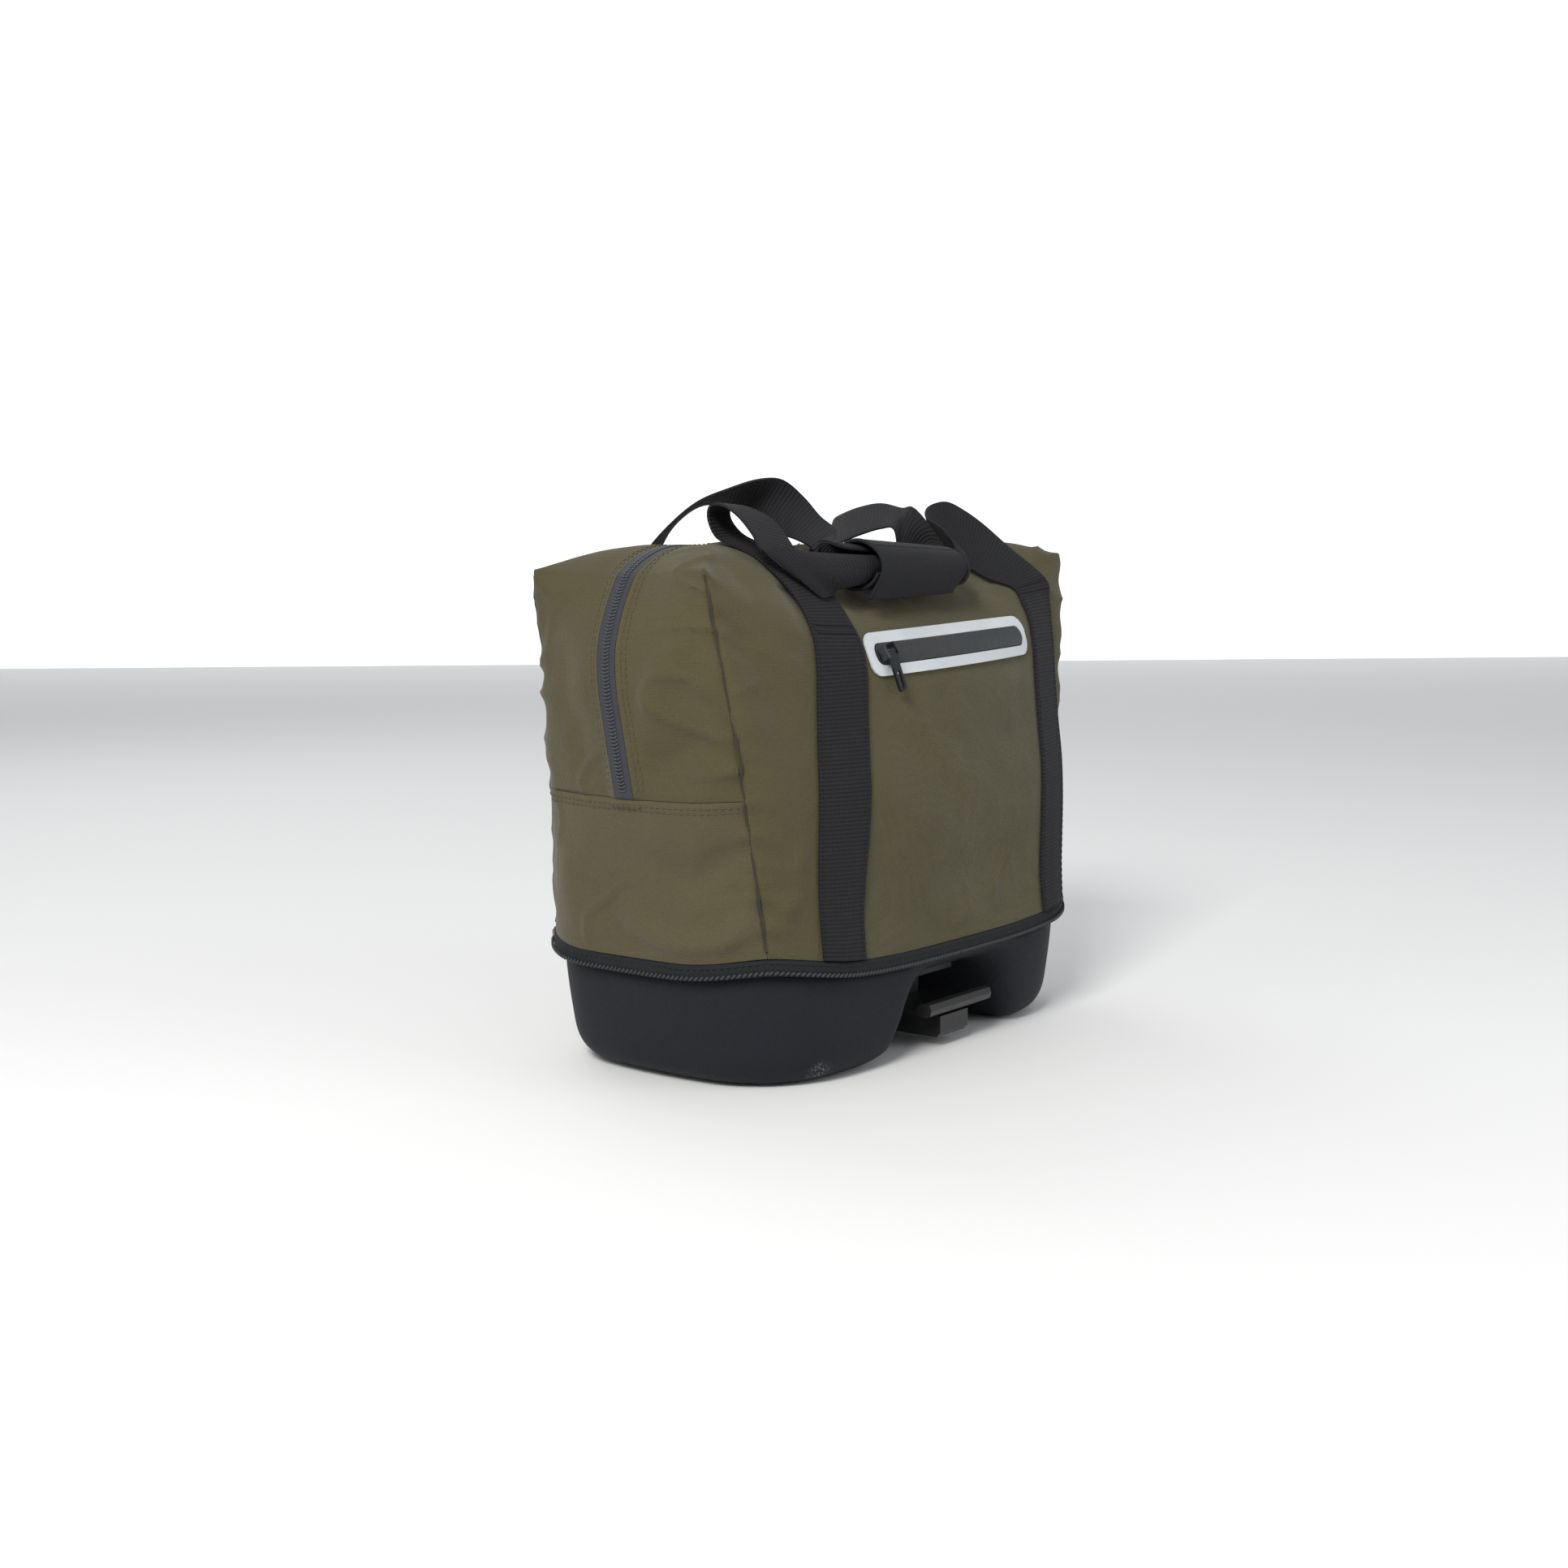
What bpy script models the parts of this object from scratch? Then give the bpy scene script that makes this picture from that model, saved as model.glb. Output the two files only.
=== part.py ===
"""Bicycle trunk bag: a fabric upper on a moulded saddle base, with webbing handles.

Metres, +Z up. The pocket face looks along -Y, the width runs along X, and the bag
rests on the two lobes of its base at Z = 0.
"""
import bpy
import bmesh
from math import cos, pi, radians, sin, sqrt
from mathutils import Vector

# Driving sizes of the body
BAG_WIDTH = 0.366
BAG_DEPTH = 0.213
RING_HEIGHT = 0.077
RING_WAVE = 0.0045
SEAM_HEIGHT = 0.172
EAR_HEIGHT = 0.305
TOP_CROWN = 0.015
TOP_LEAN = 0.008
TOP_SAG = 0.004
FRONT_BULGE = 0.028
END_BULGE = 0.020
RING_BULGE_SHARE = 0.2
SHOULDER_RADIUS = 0.062
END_SHOULDER_RADIUS = 0.060
FABRIC = 0.0018
GAP = 0.0004

# Moulded base
BASE_WALL = 0.004
BASE_FOOT_WIDTH = 0.344
BASE_FOOT_DEPTH = 0.199
BASE_EDGE_RADIUS = 0.020
TUNNEL_EDGE_RADIUS = 0.009
TUNNEL_HEIGHT = 0.048
TUNNEL_FOOT_WIDTH = 0.146
TUNNEL_CEILING_WIDTH = 0.080
TUNNEL_RECESS = 0.012
TUNNEL_SHIFT = 0.012

# Binding tape round the joint of fabric and base
BINDING_HEIGHT = 0.010
BINDING_THICKNESS = 0.008
BINDING_PROUD = 0.0015
BASE_INSET = 0.004
RIM_PLAY = 0.0005

# Main zip
ZIP_WIDTH = 0.014
ZIP_SHIFT = 0.008

# Webbing of the straps and handles
WEBBING_WIDTH = 0.040
WEBBING = 0.0018
WEBBING_STANDOFF = 0.0005
STRAP_FOOT_SPREAD = 0.244
STRAP_TOP_SPREAD = 0.240
STRAP_TOP_SHIFT = 0.026
HANDLE_RISE = 0.052

# Padded wrap round both handles
GRIP_LENGTH = 0.090
GRIP_X = -0.013
GRIP_Y = -0.074
GRIP_Z = 0.307
GRIP_DEPTH = 0.036
GRIP_LEFT_HEIGHT = 0.032
GRIP_RIGHT_HEIGHT = 0.024
GRIP_WALL = 0.0022
GRIP_OVERLAP = 0.0032
GRIP_FLAP = 0.012
GRIP_TILT = 40.0
WEBBING_ROLL = 215.0

# Pocket opening on the front face
POCKET_LENGTH = 0.186
POCKET_X = 0.016
POCKET_HEIGHT = 0.025
POCKET_Z = 0.2555
POCKET_SLANT = 0.040
POCKET_BAND = 0.0062
POCKET_CORNER = 0.009
POCKET_THICKNESS = 0.0012
SLIDER_X = -0.0630
SLIDER_LENGTH = 0.011
SLIDER_HEIGHT = 0.0065
TAB_WIDTH = 0.0075
TAB_LENGTH = 0.027
TAB_THICKNESS = 0.0016
TAB_SWAY = 16.0
TAB_LEAN = 0.18

# Rack clip under the tunnel
PLATE_WIDTH = 0.066
PLATE_LENGTH = 0.150
PLATE_THICKNESS = 0.005
BLOCK_WIDTH = 0.032
BLOCK_LENGTH = 0.056
BLOCK_FOOT = 0.007
LEVER_WIDTH = 0.070
LEVER_LENGTH = 0.042
LEVER_THICKNESS = 0.003
LEVER_Z = 0.026
LEVER_Y = -0.062

# Body sections: share of the height, of the half width, of the half depth, and
# the radius of the vertical corners as a share of the depth
SECTIONS = (
    (0.00, 1.000, 1.000, 0.340),
    (0.42, 0.985, 0.800, 0.130),
    (1.00, 1.066, 0.650, 0.018),
)

# Free webbing from a strap's top to the mouth of the grip. Columns: X as a share of the
# width, Y as a share of the depth, rise over the ears as a share of HANDLE_RISE, the
# direction across the webbing in X, Y and Z, stretch of its width, roll in degrees.
FRONT_LEFT_RUN = (
    (-0.268, -0.340, -0.330, 0.99, 0.08, 0.05, 1.00, 0),
    (-0.281, -0.290, -0.085, 0.98, 0.13, 0.03, 1.00, 0),
    (-0.297, -0.230, 0.130, 0.98, 0.18, 0.02, 1.00, 0),
    (-0.312, -0.172, 0.260, 0.97, 0.25, 0.03, 1.00, 0),
    (-0.327, -0.120, 0.373, 0.95, 0.29, 0.06, 1.00, 0),
    (-0.336, -0.095, 0.563, 0.93, 0.35, 0.03, 1.00, 0),
    (-0.337, -0.102, 0.711, 0.93, 0.36, 0.01, 1.00, 0),
    (-0.329, -0.148, 0.704, 0.97, 0.26, -0.02, 1.00, 0),
    (-0.322, -0.209, 0.558, 0.99, 0.12, -0.06, 1.00, 0),
    (-0.320, -0.265, 0.302, 0.98, -0.01, -0.22, 1.00, 0),
    (-0.317, -0.323, -0.051, 0.80, -0.24, -0.54, 1.17, 0),
    (-0.269, -0.330, -0.048, 0.69, -0.24, -0.69, 1.00, 50),
    (-0.220, -0.327, -0.029, 0.63, -0.04, -0.77, 1.00, 170),
)
FRONT_RIGHT_RUN = (
    (0.337, -0.294, 0.051, 0.84, 0.12, 0.53, 1.00, 0),
    (0.297, -0.249, 0.279, 0.63, 0.15, 0.76, 1.00, 0),
    (0.263, -0.222, 0.416, 0.40, 0.16, 0.90, 1.00, 0),
    (0.229, -0.212, 0.481, 0.16, 0.17, 0.97, 1.00, 0),
    (0.193, -0.214, 0.416, -0.08, 0.24, 0.97, 1.00, 0),
    (0.159, -0.263, 0.290, -0.29, 0.29, 0.91, 1.00, 0),
    (0.148, -0.319, 0.135, -0.30, 0.10, 0.95, 1.00, 60),
    (0.118, -0.361, 0.020, -0.15, -0.25, 0.95, 1.00, 205),
)
BACK_LEFT_RUN = (
    (-0.269, 0.321, -0.127, -0.96, -0.26, -0.06, 1.00, 0),
    (-0.271, 0.262, 0.216, -0.89, -0.46, -0.08, 1.00, 0),
    (-0.265, 0.192, 0.532, -0.81, -0.58, -0.06, 1.00, 0),
    (-0.249, 0.112, 0.777, -0.77, -0.64, 0.03, 1.00, 0),
    (-0.228, 0.033, 0.858, -0.71, -0.68, 0.21, 1.00, 0),
    (-0.210, -0.036, 0.857, -0.52, -0.71, 0.48, 1.00, 0),
    (-0.198, -0.091, 0.785, 0.04, -0.58, 0.81, 0.81, 0),
    (-0.186, -0.144, 0.634, 0.77, -0.01, 0.64, 0.87, 0),
    (-0.177, -0.200, 0.475, 0.90, 0.25, 0.37, 1.00, 0),
    (-0.170, -0.250, 0.325, 0.91, 0.26, 0.32, 1.00, 0),
    (-0.197, -0.296, 0.100, 0.30, -0.30, 0.90, 1.00, 215),
)
BACK_RIGHT_RUN = (
    (0.331, 0.333, -0.117, 0.94, 0.06, 0.33, 1.00, 0),
    (0.279, 0.295, 0.115, 0.86, 0.21, 0.47, 1.00, 0),
    (0.231, 0.247, 0.315, 0.77, 0.37, 0.51, 1.00, 0),
    (0.190, 0.182, 0.465, 0.70, 0.52, 0.49, 1.00, 0),
    (0.159, 0.095, 0.552, 0.68, 0.56, 0.47, 1.00, 0),
    (0.137, -0.002, 0.627, 0.69, 0.56, 0.46, 1.00, 0),
    (0.119, -0.095, 0.666, 0.74, 0.52, 0.43, 1.00, 0),
    (0.105, -0.175, 0.619, 0.83, 0.43, 0.37, 1.00, 0),
    (0.098, -0.225, 0.425, 0.55, 0.10, 0.83, 1.00, 50),
    (0.130, -0.298, 0.100, 0.20, -0.30, 0.93, 1.00, 225),
)

# Finishes: linear red, green and blue, roughness, metalness
FINISHES = {
    "front_panel": (0.108, 0.094, 0.056, 0.85, 0.0),
    "back_panel": (0.106, 0.092, 0.055, 0.85, 0.0),
    "side_panel_left": (0.112, 0.097, 0.058, 0.85, 0.0),
    "side_panel_right": (0.110, 0.095, 0.057, 0.85, 0.0),
    "main_zip": (0.045, 0.048, 0.056, 0.70, 0.0),
    "main_zip_slider": (0.050, 0.050, 0.055, 0.35, 0.9),
    "base_binding": (0.020, 0.021, 0.025, 0.80, 0.0),
    "molded_base": (0.022, 0.023, 0.029, 0.75, 0.0),
    "front_handle": (0.023, 0.023, 0.025, 0.80, 0.0),
    "back_handle": (0.022, 0.022, 0.024, 0.80, 0.0),
    "handle_grip": (0.020, 0.020, 0.023, 0.90, 0.0),
    "pocket_frame": (0.640, 0.680, 0.710, 0.40, 0.0),
    "pocket_zip": (0.030, 0.032, 0.038, 0.55, 0.0),
    "pocket_slider": (0.040, 0.041, 0.045, 0.35, 0.9),
    "pull_tab": (0.035, 0.035, 0.038, 0.25, 0.9),
    "adapter_plate": (0.014, 0.014, 0.015, 0.45, 0.0),
    "adapter_block": (0.013, 0.013, 0.014, 0.40, 0.0),
    "release_lever": (0.016, 0.016, 0.017, 0.35, 0.0),
}

# Grid stations: shares along each stretch
ROWS_BELOW_SEAM = (0.0, 0.25, 0.5, 0.75, 1.0)
ROWS_ABOVE_SEAM = (0.18, 0.36, 0.53, 0.67, 0.79, 0.90, 1.0)
COLUMNS_BETWEEN_STRAPS = 5
COLUMNS_OUTSIDE_STRAPS = 3
DEPTH_STATIONS = (0.0, 0.22, 0.46, 0.72, 1.0)
BASE_ROWS = (0.0, 0.3, 0.58, 0.72, 0.86, 1.0)
BASE_DEPTHS = (1.0, 0.9, 0.76, 0.5, 0.0)
WEBBING_STATIONS = (-1.0, -0.5, 0.0, 0.5, 1.0)
ROLL_DEPTH = 0.68


def clamp(value, low=0.0, high=1.0):
    return max(low, min(high, value))


def ease(value):
    t = clamp(value)
    return t * t * (3 - 2 * t)


def mix(low, high, share):
    return low + (high - low) * share


def section(share, column):
    """One column of SECTIONS at a share of the height, on a parabola through its rows."""
    total = 0.0
    for i, row in enumerate(SECTIONS):
        weight = 1.0
        for j, other in enumerate(SECTIONS):
            if i != j:
                weight *= (share - other[0]) / (row[0] - other[0])
        total += weight * row[column]
    return total


def edge_angle(distance, radius):
    """How far round a rounded edge a point lies: a half of a right angle at the edge."""
    if distance >= radius:
        return 0.0
    return pi / 4 * (1 - distance / radius)


def rounded_outline(a, b, half_x, half_y, radius):
    """Point and outward normal of a rounded rectangle, for a or b at -1 or 1."""
    sign_x = 1 if a >= 0 else -1
    sign_y = 1 if b >= 0 else -1
    along_x = abs(b) >= abs(a)
    distance = (1 - abs(a)) * half_x if along_x else (1 - abs(b)) * half_y
    angle = edge_angle(distance, radius)
    if angle == 0.0:
        near, far = 0.0, distance
        normal = (0.0, sign_y) if along_x else (sign_x, 0.0)
    else:
        near = radius * (1 - cos(angle))
        far = radius * (1 - sin(angle))
        normal = (sign_x * sin(angle), sign_y * cos(angle))
        if not along_x:
            normal = (sign_x * cos(angle), sign_y * sin(angle))
    inset_x, inset_y = (far, near) if along_x else (near, far)
    point = (sign_x * (half_x - inset_x), sign_y * (half_y - inset_y))
    return point, normal


def ring_wave(a, b):
    """How far the binding lies over its mean height: high at the corners, low in front."""
    return RING_WAVE * (2 * ease(a * a) * ease(b * b) - ease(b * b))


def body_height():
    return EAR_HEIGHT - RING_HEIGHT


def seam_share():
    return (SEAM_HEIGHT - RING_HEIGHT) / body_height()


def half_width(c):
    return BAG_WIDTH / 2 * section(c, 1)


def half_depth(c):
    return BAG_DEPTH / 2 * section(c, 2)


def body_point(a, b, c):
    """Outer point of the fabric: a along X, b along Y, c up from the binding to the ears."""
    half_x = half_width(c)
    half_y = half_depth(c)
    radius = BAG_DEPTH * section(c, 3)
    front_edge = SHOULDER_RADIUS * (1 - abs(a) ** 3)
    end_edge = END_SHOULDER_RADIUS * (1 - b * b)
    sign_x = 1 if a >= 0 else -1
    sign_y = 1 if b >= 0 else -1
    below = (1 - c) * body_height()
    drop = 0.0
    if max(abs(a), abs(b)) > 1 - 1e-9:
        (x, y), _ = rounded_outline(a, b, half_x, half_y, radius)
        on_front = abs(b) > 1 - 1e-9
        edge = front_edge if on_front else end_edge
        angle = edge_angle(below, edge)
        if angle:
            inset = edge * (1 - cos(angle))
            drop = edge * (1 - sin(angle)) - below
            if on_front:
                y -= sign_y * inset
            else:
                x -= sign_x * inset
    else:
        inset_y = (1 - abs(b)) * half_y
        inset_x = (1 - abs(a)) * half_x
        angle = edge_angle(inset_y, front_edge)
        if angle:
            drop += front_edge * (1 - cos(angle))
            inset_y = front_edge * (1 - sin(angle))
        angle = edge_angle(inset_x, end_edge)
        if angle:
            drop += end_edge * (1 - cos(angle))
            inset_x = end_edge * (1 - sin(angle))
        x = sign_x * (half_x - inset_x)
        y = sign_y * (half_y - inset_y)
    z = RING_HEIGHT + c * body_height() - drop
    on_top = ease((c - 0.55) / 0.45)
    z += on_top * (1 - abs(b) ** 3) * (TOP_CROWN - TOP_SAG * (1 - a * a))
    z += TOP_LEAN * (a + 1) / 2 * ease(c) + ring_wave(a, b) * (1 - c) ** 2
    front_share = mix(RING_BULGE_SHARE, 1.0, ease(c / 0.45)) * mix(1.0, 0.45, ease((c - 0.7) / 0.3))
    y += sign_y * FRONT_BULGE * abs(b) ** 4 * (1 - a * a) * front_share
    end_share = mix(RING_BULGE_SHARE, 1.0, ease(c / 0.55)) * mix(1.0, 0.3, ease((c - 0.65) / 0.35))
    x += sign_x * END_BULGE * abs(a) ** 4 * (1 - b * b) * end_share
    return Vector((x, y, z))


def tunnel_share(x):
    """1 under the tunnel's ceiling, 0 on the lobes."""
    inner = TUNNEL_CEILING_WIDTH / 2
    outer = TUNNEL_FOOT_WIDTH / 2
    return 1 - ease((abs(x - TUNNEL_SHIFT) - inner) / (outer - inner))


def base_rim():
    return RING_HEIGHT - BINDING_HEIGHT - RIM_PLAY


def base_outline(a, b, v):
    """Point and outward normal of the base wall, without its rounded bottom edge."""
    outward = ease(v)
    half_x = mix(BAG_WIDTH - 2 * BASE_INSET, BASE_FOOT_WIDTH, outward) / 2
    half_y = mix(BAG_DEPTH - 2 * BASE_INSET, BASE_FOOT_DEPTH, outward) / 2
    (x, y), normal = rounded_outline(a, b, half_x, half_y, BAG_DEPTH * section(0.0, 3))
    bulge = RING_BULGE_SHARE * (1 - 0.5 * outward)
    y += (1 if b > 0 else -1) * FRONT_BULGE * abs(b) ** 4 * (1 - a * a) * bulge
    x += (1 if a > 0 else -1) * END_BULGE * abs(a) ** 4 * (1 - b * b) * bulge
    y -= (1 if b > 0 else -1) * TUNNEL_RECESS * tunnel_share(x) * v ** 1.5
    return Vector((x, y, 0.0)), Vector((normal[0], normal[1], 0.0))


def base_floor(x):
    """Height of the bottom and the radius of its outer edge at a place along X."""
    share = tunnel_share(x)
    return TUNNEL_HEIGHT * share, mix(BASE_EDGE_RADIUS, TUNNEL_EDGE_RADIUS, share)


def base_wall_point(a, b, v):
    """Outer point of the base wall: v runs down from the rim to the bottom edge."""
    point, normal = base_outline(a, b, v)
    floor, edge = base_floor(point.x)
    below = (1 - v) * (base_rim() + ring_wave(a, b) - floor)
    angle = edge_angle(below, edge)
    point.z = floor + below
    if angle:
        point -= normal * edge * (1 - cos(angle))
        point.z = floor + edge * (1 - sin(angle))
    return point


def base_bottom_point(a, b):
    """Outer point of the bottom, on a net hung between the edges of the wall."""
    share = (b + 1) / 2
    point = base_wall_point(a, -1, 1).lerp(base_wall_point(a, 1, 1), share)
    side = 1 if a > 0 else -1
    end = base_wall_point(side, b, 1)
    chord = base_wall_point(side, -1, 1).lerp(base_wall_point(side, 1, 1), share)
    inner = (TUNNEL_FOOT_WIDTH / 2 + side * TUNNEL_SHIFT) * 2 / BASE_FOOT_WIDTH
    point += (end - chord) * clamp((abs(a) - inner) / (1 - inner))
    if max(abs(a), abs(b)) > 1 - 1e-9:
        return point
    outer, normal = base_outline(a, 1 if b > 0 else -1, 1)
    distance = (outer - point).xy.dot(normal.xy)
    outer, normal = base_outline(side, b, 1)
    distance = min(distance, (outer - point).xy.dot(normal.xy))
    floor, edge = base_floor(point.x)
    rise = clamp(1 - distance / edge)
    point.z = floor + edge * (1 - sqrt(1 - rise * rise))
    return point


def strap_centre(side, c):
    """X of a strap's centre line on the body, side -1 left and 1 right."""
    spread = mix(STRAP_FOOT_SPREAD, STRAP_TOP_SPREAD, c) / 2
    return side * spread + STRAP_TOP_SHIFT * c


def column_stations(c):
    """Shares a of the half width at the grid columns, with lines along the strap edges."""
    half = half_width(c)
    marks = []
    for side in (-1, 1):
        centre = strap_centre(side, c)
        marks += [centre - WEBBING_WIDTH / 2, centre, centre + WEBBING_WIDTH / 2]
    marks = [m / half for m in marks]
    stations = []
    spans = (
        (-1.0, marks[0], COLUMNS_OUTSIDE_STRAPS),
        (marks[0], marks[1], 1),
        (marks[1], marks[2], 1),
        (marks[2], marks[3], 2 * COLUMNS_BETWEEN_STRAPS),
        (marks[3], marks[4], 1),
        (marks[4], marks[5], 1),
        (marks[5], 1.0, COLUMNS_OUTSIDE_STRAPS),
    )
    for low, high, count in spans:
        stations += [mix(low, high, i / count) for i in range(count)]
    return stations + [1.0]


def depth_stations(c):
    """Shares b of the half depth from front to back, with lines along the zip."""
    slot = ZIP_WIDTH / 2 / half_depth(c)
    middle = -ZIP_SHIFT / half_depth(c) * (1 - ease((c - seam_share()) / 0.4))
    front = [mix(-1.0, middle - slot, s) for s in DEPTH_STATIONS]
    back = [mix(1.0, middle + slot, s) for s in DEPTH_STATIONS]
    return front + [middle] + list(reversed(back))


def rows():
    """Shares c of the body height at the grid rows."""
    seam = seam_share()
    lower = [seam * s for s in ROWS_BELOW_SEAM]
    return lower + [mix(seam, 1.0, s) for s in ROWS_ABOVE_SEAM]


class Skin:
    """A closed or open net of points, whose faces carry the name of their panel."""

    def __init__(self):
        self.points = {}
        self.keys = {}
        self.faces = []
        self.level = set()

    def vertex(self, point):
        key = tuple(round(v * 1e6) for v in point)
        if key not in self.keys:
            self.keys[key] = len(self.points)
            self.points[self.keys[key]] = point.copy()
        return self.keys[key]

    def grid(self, panel, points, flip=False, rim=True):
        """Add a net of rows of points; panel is a name or a function of row and column.

        The first row of a net with a rim meets the binding.
        """
        ids = [[self.vertex(p) for p in row] for row in points]
        if rim:
            self.level.update(ids[0])
        for i in range(len(ids) - 1):
            for j in range(len(ids[0]) - 1):
                loop = [ids[i][j], ids[i][j + 1], ids[i + 1][j + 1], ids[i + 1][j]]
                if flip:
                    loop.reverse()
                name = panel(i, j) if callable(panel) else panel
                self.faces.append((name, loop))

    def normals(self):
        total = {i: Vector() for i in self.points}
        for _, loop in self.faces:
            corners = [self.points[i] for i in loop]
            area = (corners[2] - corners[0]).cross(corners[3] - corners[1])
            for i in loop:
                total[i] += area.normalized()
        return {i: n.normalized() for i, n in total.items()}

    def solid(self, name, panel, wall, gap=GAP):
        """One panel as a closed wall, grown inward, with half a gap kept at its borders.

        Points at the binding grow inward in a level plane.
        """
        normals = self.normals()
        for i in self.level:
            normals[i] = Vector((normals[i].x, normals[i].y, 0.0)).normalized()
        loops = [loop for tag, loop in self.faces if tag == panel]
        used = sorted({i for loop in loops for i in loop})
        edges = {}
        centres = {i: [] for i in used}
        for loop in loops:
            middle = sum((self.points[i] for i in loop), Vector()) / len(loop)
            for i, j in zip(loop, loop[1:] + loop[:1]):
                edges[(i, j)] = True
                centres[i].append(middle)
        border = [(i, j) for i, j in edges if (j, i) not in edges]
        rim = {i for edge in border for i in edge}
        outer, inner = {}, {}
        verts = []
        for i in used:
            point = self.points[i].copy()
            if i in rim:
                pull = sum(centres[i], Vector()) / len(centres[i]) - point
                point += pull.normalized() * gap / 2
            outer[i] = len(verts)
            verts.append(point)
            inner[i] = len(verts)
            verts.append(point - normals[i] * wall)
        faces = []
        for loop in loops:
            faces.append([outer[i] for i in loop])
            faces.append([inner[i] for i in reversed(loop)])
        for i, j in border:
            faces.append([outer[j], outer[i], inner[i], inner[j]])
        return new_object(name, verts, faces)


def finish_material(obj):
    """Give an object its own Principled material from FINISHES."""
    red, green, blue, rough, metal = FINISHES[obj.name]
    material = bpy.data.materials.new(obj.name)
    material.use_nodes = True
    shader = material.node_tree.nodes["Principled BSDF"]
    shader.inputs["Base Color"].default_value = (red, green, blue, 1.0)
    shader.inputs["Roughness"].default_value = rough
    shader.inputs["Metallic"].default_value = metal
    obj.data.materials.append(material)


def new_object(name, verts, faces, smooth_angle=35.0):
    mesh = bpy.data.meshes.new(name)
    mesh.from_pydata([tuple(v) for v in verts], [], faces)
    mesh.validate()
    work = bmesh.new()
    work.from_mesh(mesh)
    bmesh.ops.triangulate(work, faces=work.faces[:])
    bmesh.ops.recalc_face_normals(work, faces=work.faces[:])
    work.to_mesh(mesh)
    work.free()
    mesh.shade_smooth()
    mesh.set_sharp_from_angle(angle=radians(smooth_angle))
    obj = bpy.data.objects.new(name, mesh)
    bpy.context.collection.objects.link(obj)
    finish_material(obj)
    return obj


def body_skin():
    """The whole fabric body, its faces named after the panels that they belong to."""
    skin = Skin()
    levels = rows()
    split = len(ROWS_BELOW_SEAM) - 1
    half = len(DEPTH_STATIONS) - 1
    columns = [column_stations(c) for c in levels]
    depths = [depth_stations(c) for c in levels]

    def end_panel(side):
        def name(i, j):
            if i < split:
                return "side_panel_" + side
            if j < half:
                return "front_panel"
            return "main_zip" if j < half + 2 else "back_panel"
        return name

    def top_panel(i, j):
        if j < half:
            return "front_panel"
        return "main_zip" if j < half + 2 else "back_panel"

    front = [[body_point(a, -1, c) for a in columns[i]] for i, c in enumerate(levels)]
    back = [[body_point(a, 1, c) for a in columns[i]] for i, c in enumerate(levels)]
    left = [[body_point(-1, b, c) for b in depths[i]] for i, c in enumerate(levels)]
    right = [[body_point(1, b, c) for b in depths[i]] for i, c in enumerate(levels)]
    top = [[body_point(a, b, 1) for b in depths[-1]] for a in columns[-1]]
    skin.grid("front_panel", front)
    skin.grid("back_panel", back, flip=True)
    skin.grid(end_panel("left"), left, flip=True)
    skin.grid(end_panel("right"), right)
    skin.grid(top_panel, top, flip=True, rim=False)
    return skin


def base_columns():
    """Shares a along the base, with grid lines at the foot and the ceiling of the tunnel."""
    marks = [TUNNEL_CEILING_WIDTH / 2 * share for share in (-1, -0.5, 0, 0.5, 1)]
    slope = (TUNNEL_FOOT_WIDTH - TUNNEL_CEILING_WIDTH) / 2
    for share in (0.3, 0.7, 1.0):
        reach = TUNNEL_CEILING_WIDTH / 2 + slope * share
        marks += [-reach, reach]
    inner = [(TUNNEL_SHIFT + mark) * 2 / BASE_FOOT_WIDTH for mark in sorted(marks)]
    shares = (0.25, 0.5, 0.7, 0.86, 1.0)
    left = [mix(inner[0], -1.0, share) for share in shares]
    right = [mix(inner[-1], 1.0, share) for share in shares]
    return list(reversed(left)) + inner + right


def base_skin():
    skin = Skin()
    columns = base_columns()
    depths = [-s for s in BASE_DEPTHS] + [s for s in reversed(BASE_DEPTHS[:-1])]
    front = [[base_wall_point(a, -1, v) for a in columns] for v in BASE_ROWS]
    back = [[base_wall_point(a, 1, v) for a in columns] for v in BASE_ROWS]
    left = [[base_wall_point(-1, b, v) for b in depths] for v in BASE_ROWS]
    right = [[base_wall_point(1, b, v) for b in depths] for v in BASE_ROWS]
    bottom = [[base_bottom_point(a, b) for b in depths] for a in columns]
    skin.grid("molded_base", front, flip=True)
    skin.grid("molded_base", back)
    skin.grid("molded_base", left)
    skin.grid("molded_base", right, flip=True)
    skin.grid("molded_base", bottom, rim=False)
    return skin


def ring_stations():
    """Shares a, b round the binding, one turn."""
    columns = column_stations(0.0)
    depths = depth_stations(0.0)
    turn = [(a, -1.0) for a in columns[:-1]]
    turn += [(1.0, b) for b in depths[:-1]]
    turn += [(a, 1.0) for a in reversed(columns[1:])]
    turn += [(-1.0, b) for b in reversed(depths[1:])]
    return turn


def make_binding():
    verts = []
    half_x, half_y = half_width(0.0), half_depth(0.0)
    radius = BAG_DEPTH * section(0.0, 3)
    inset = BINDING_THICKNESS - BINDING_PROUD
    low = RING_HEIGHT - BINDING_HEIGHT + GAP / 2
    high = RING_HEIGHT - GAP / 2
    for a, b in ring_stations():
        point = body_point(a, b, 0.0)
        wave = ring_wave(a, b)
        _, normal = rounded_outline(a, b, half_x, half_y, radius)
        for depth, height in (
            (BINDING_PROUD, low),
            (BINDING_PROUD, high),
            (-inset, high),
            (-inset, low),
        ):
            place = (point.x + normal[0] * depth, point.y + normal[1] * depth, height + wave)
            verts.append(place)
    count = len(verts) // 4
    faces = []
    for i in range(count):
        j = (i + 1) % count
        for k in range(4):
            m = (k + 1) % 4
            faces.append([4 * i + k, 4 * j + k, 4 * j + m, 4 * i + m])
    return new_object("base_binding", verts, faces)


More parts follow.
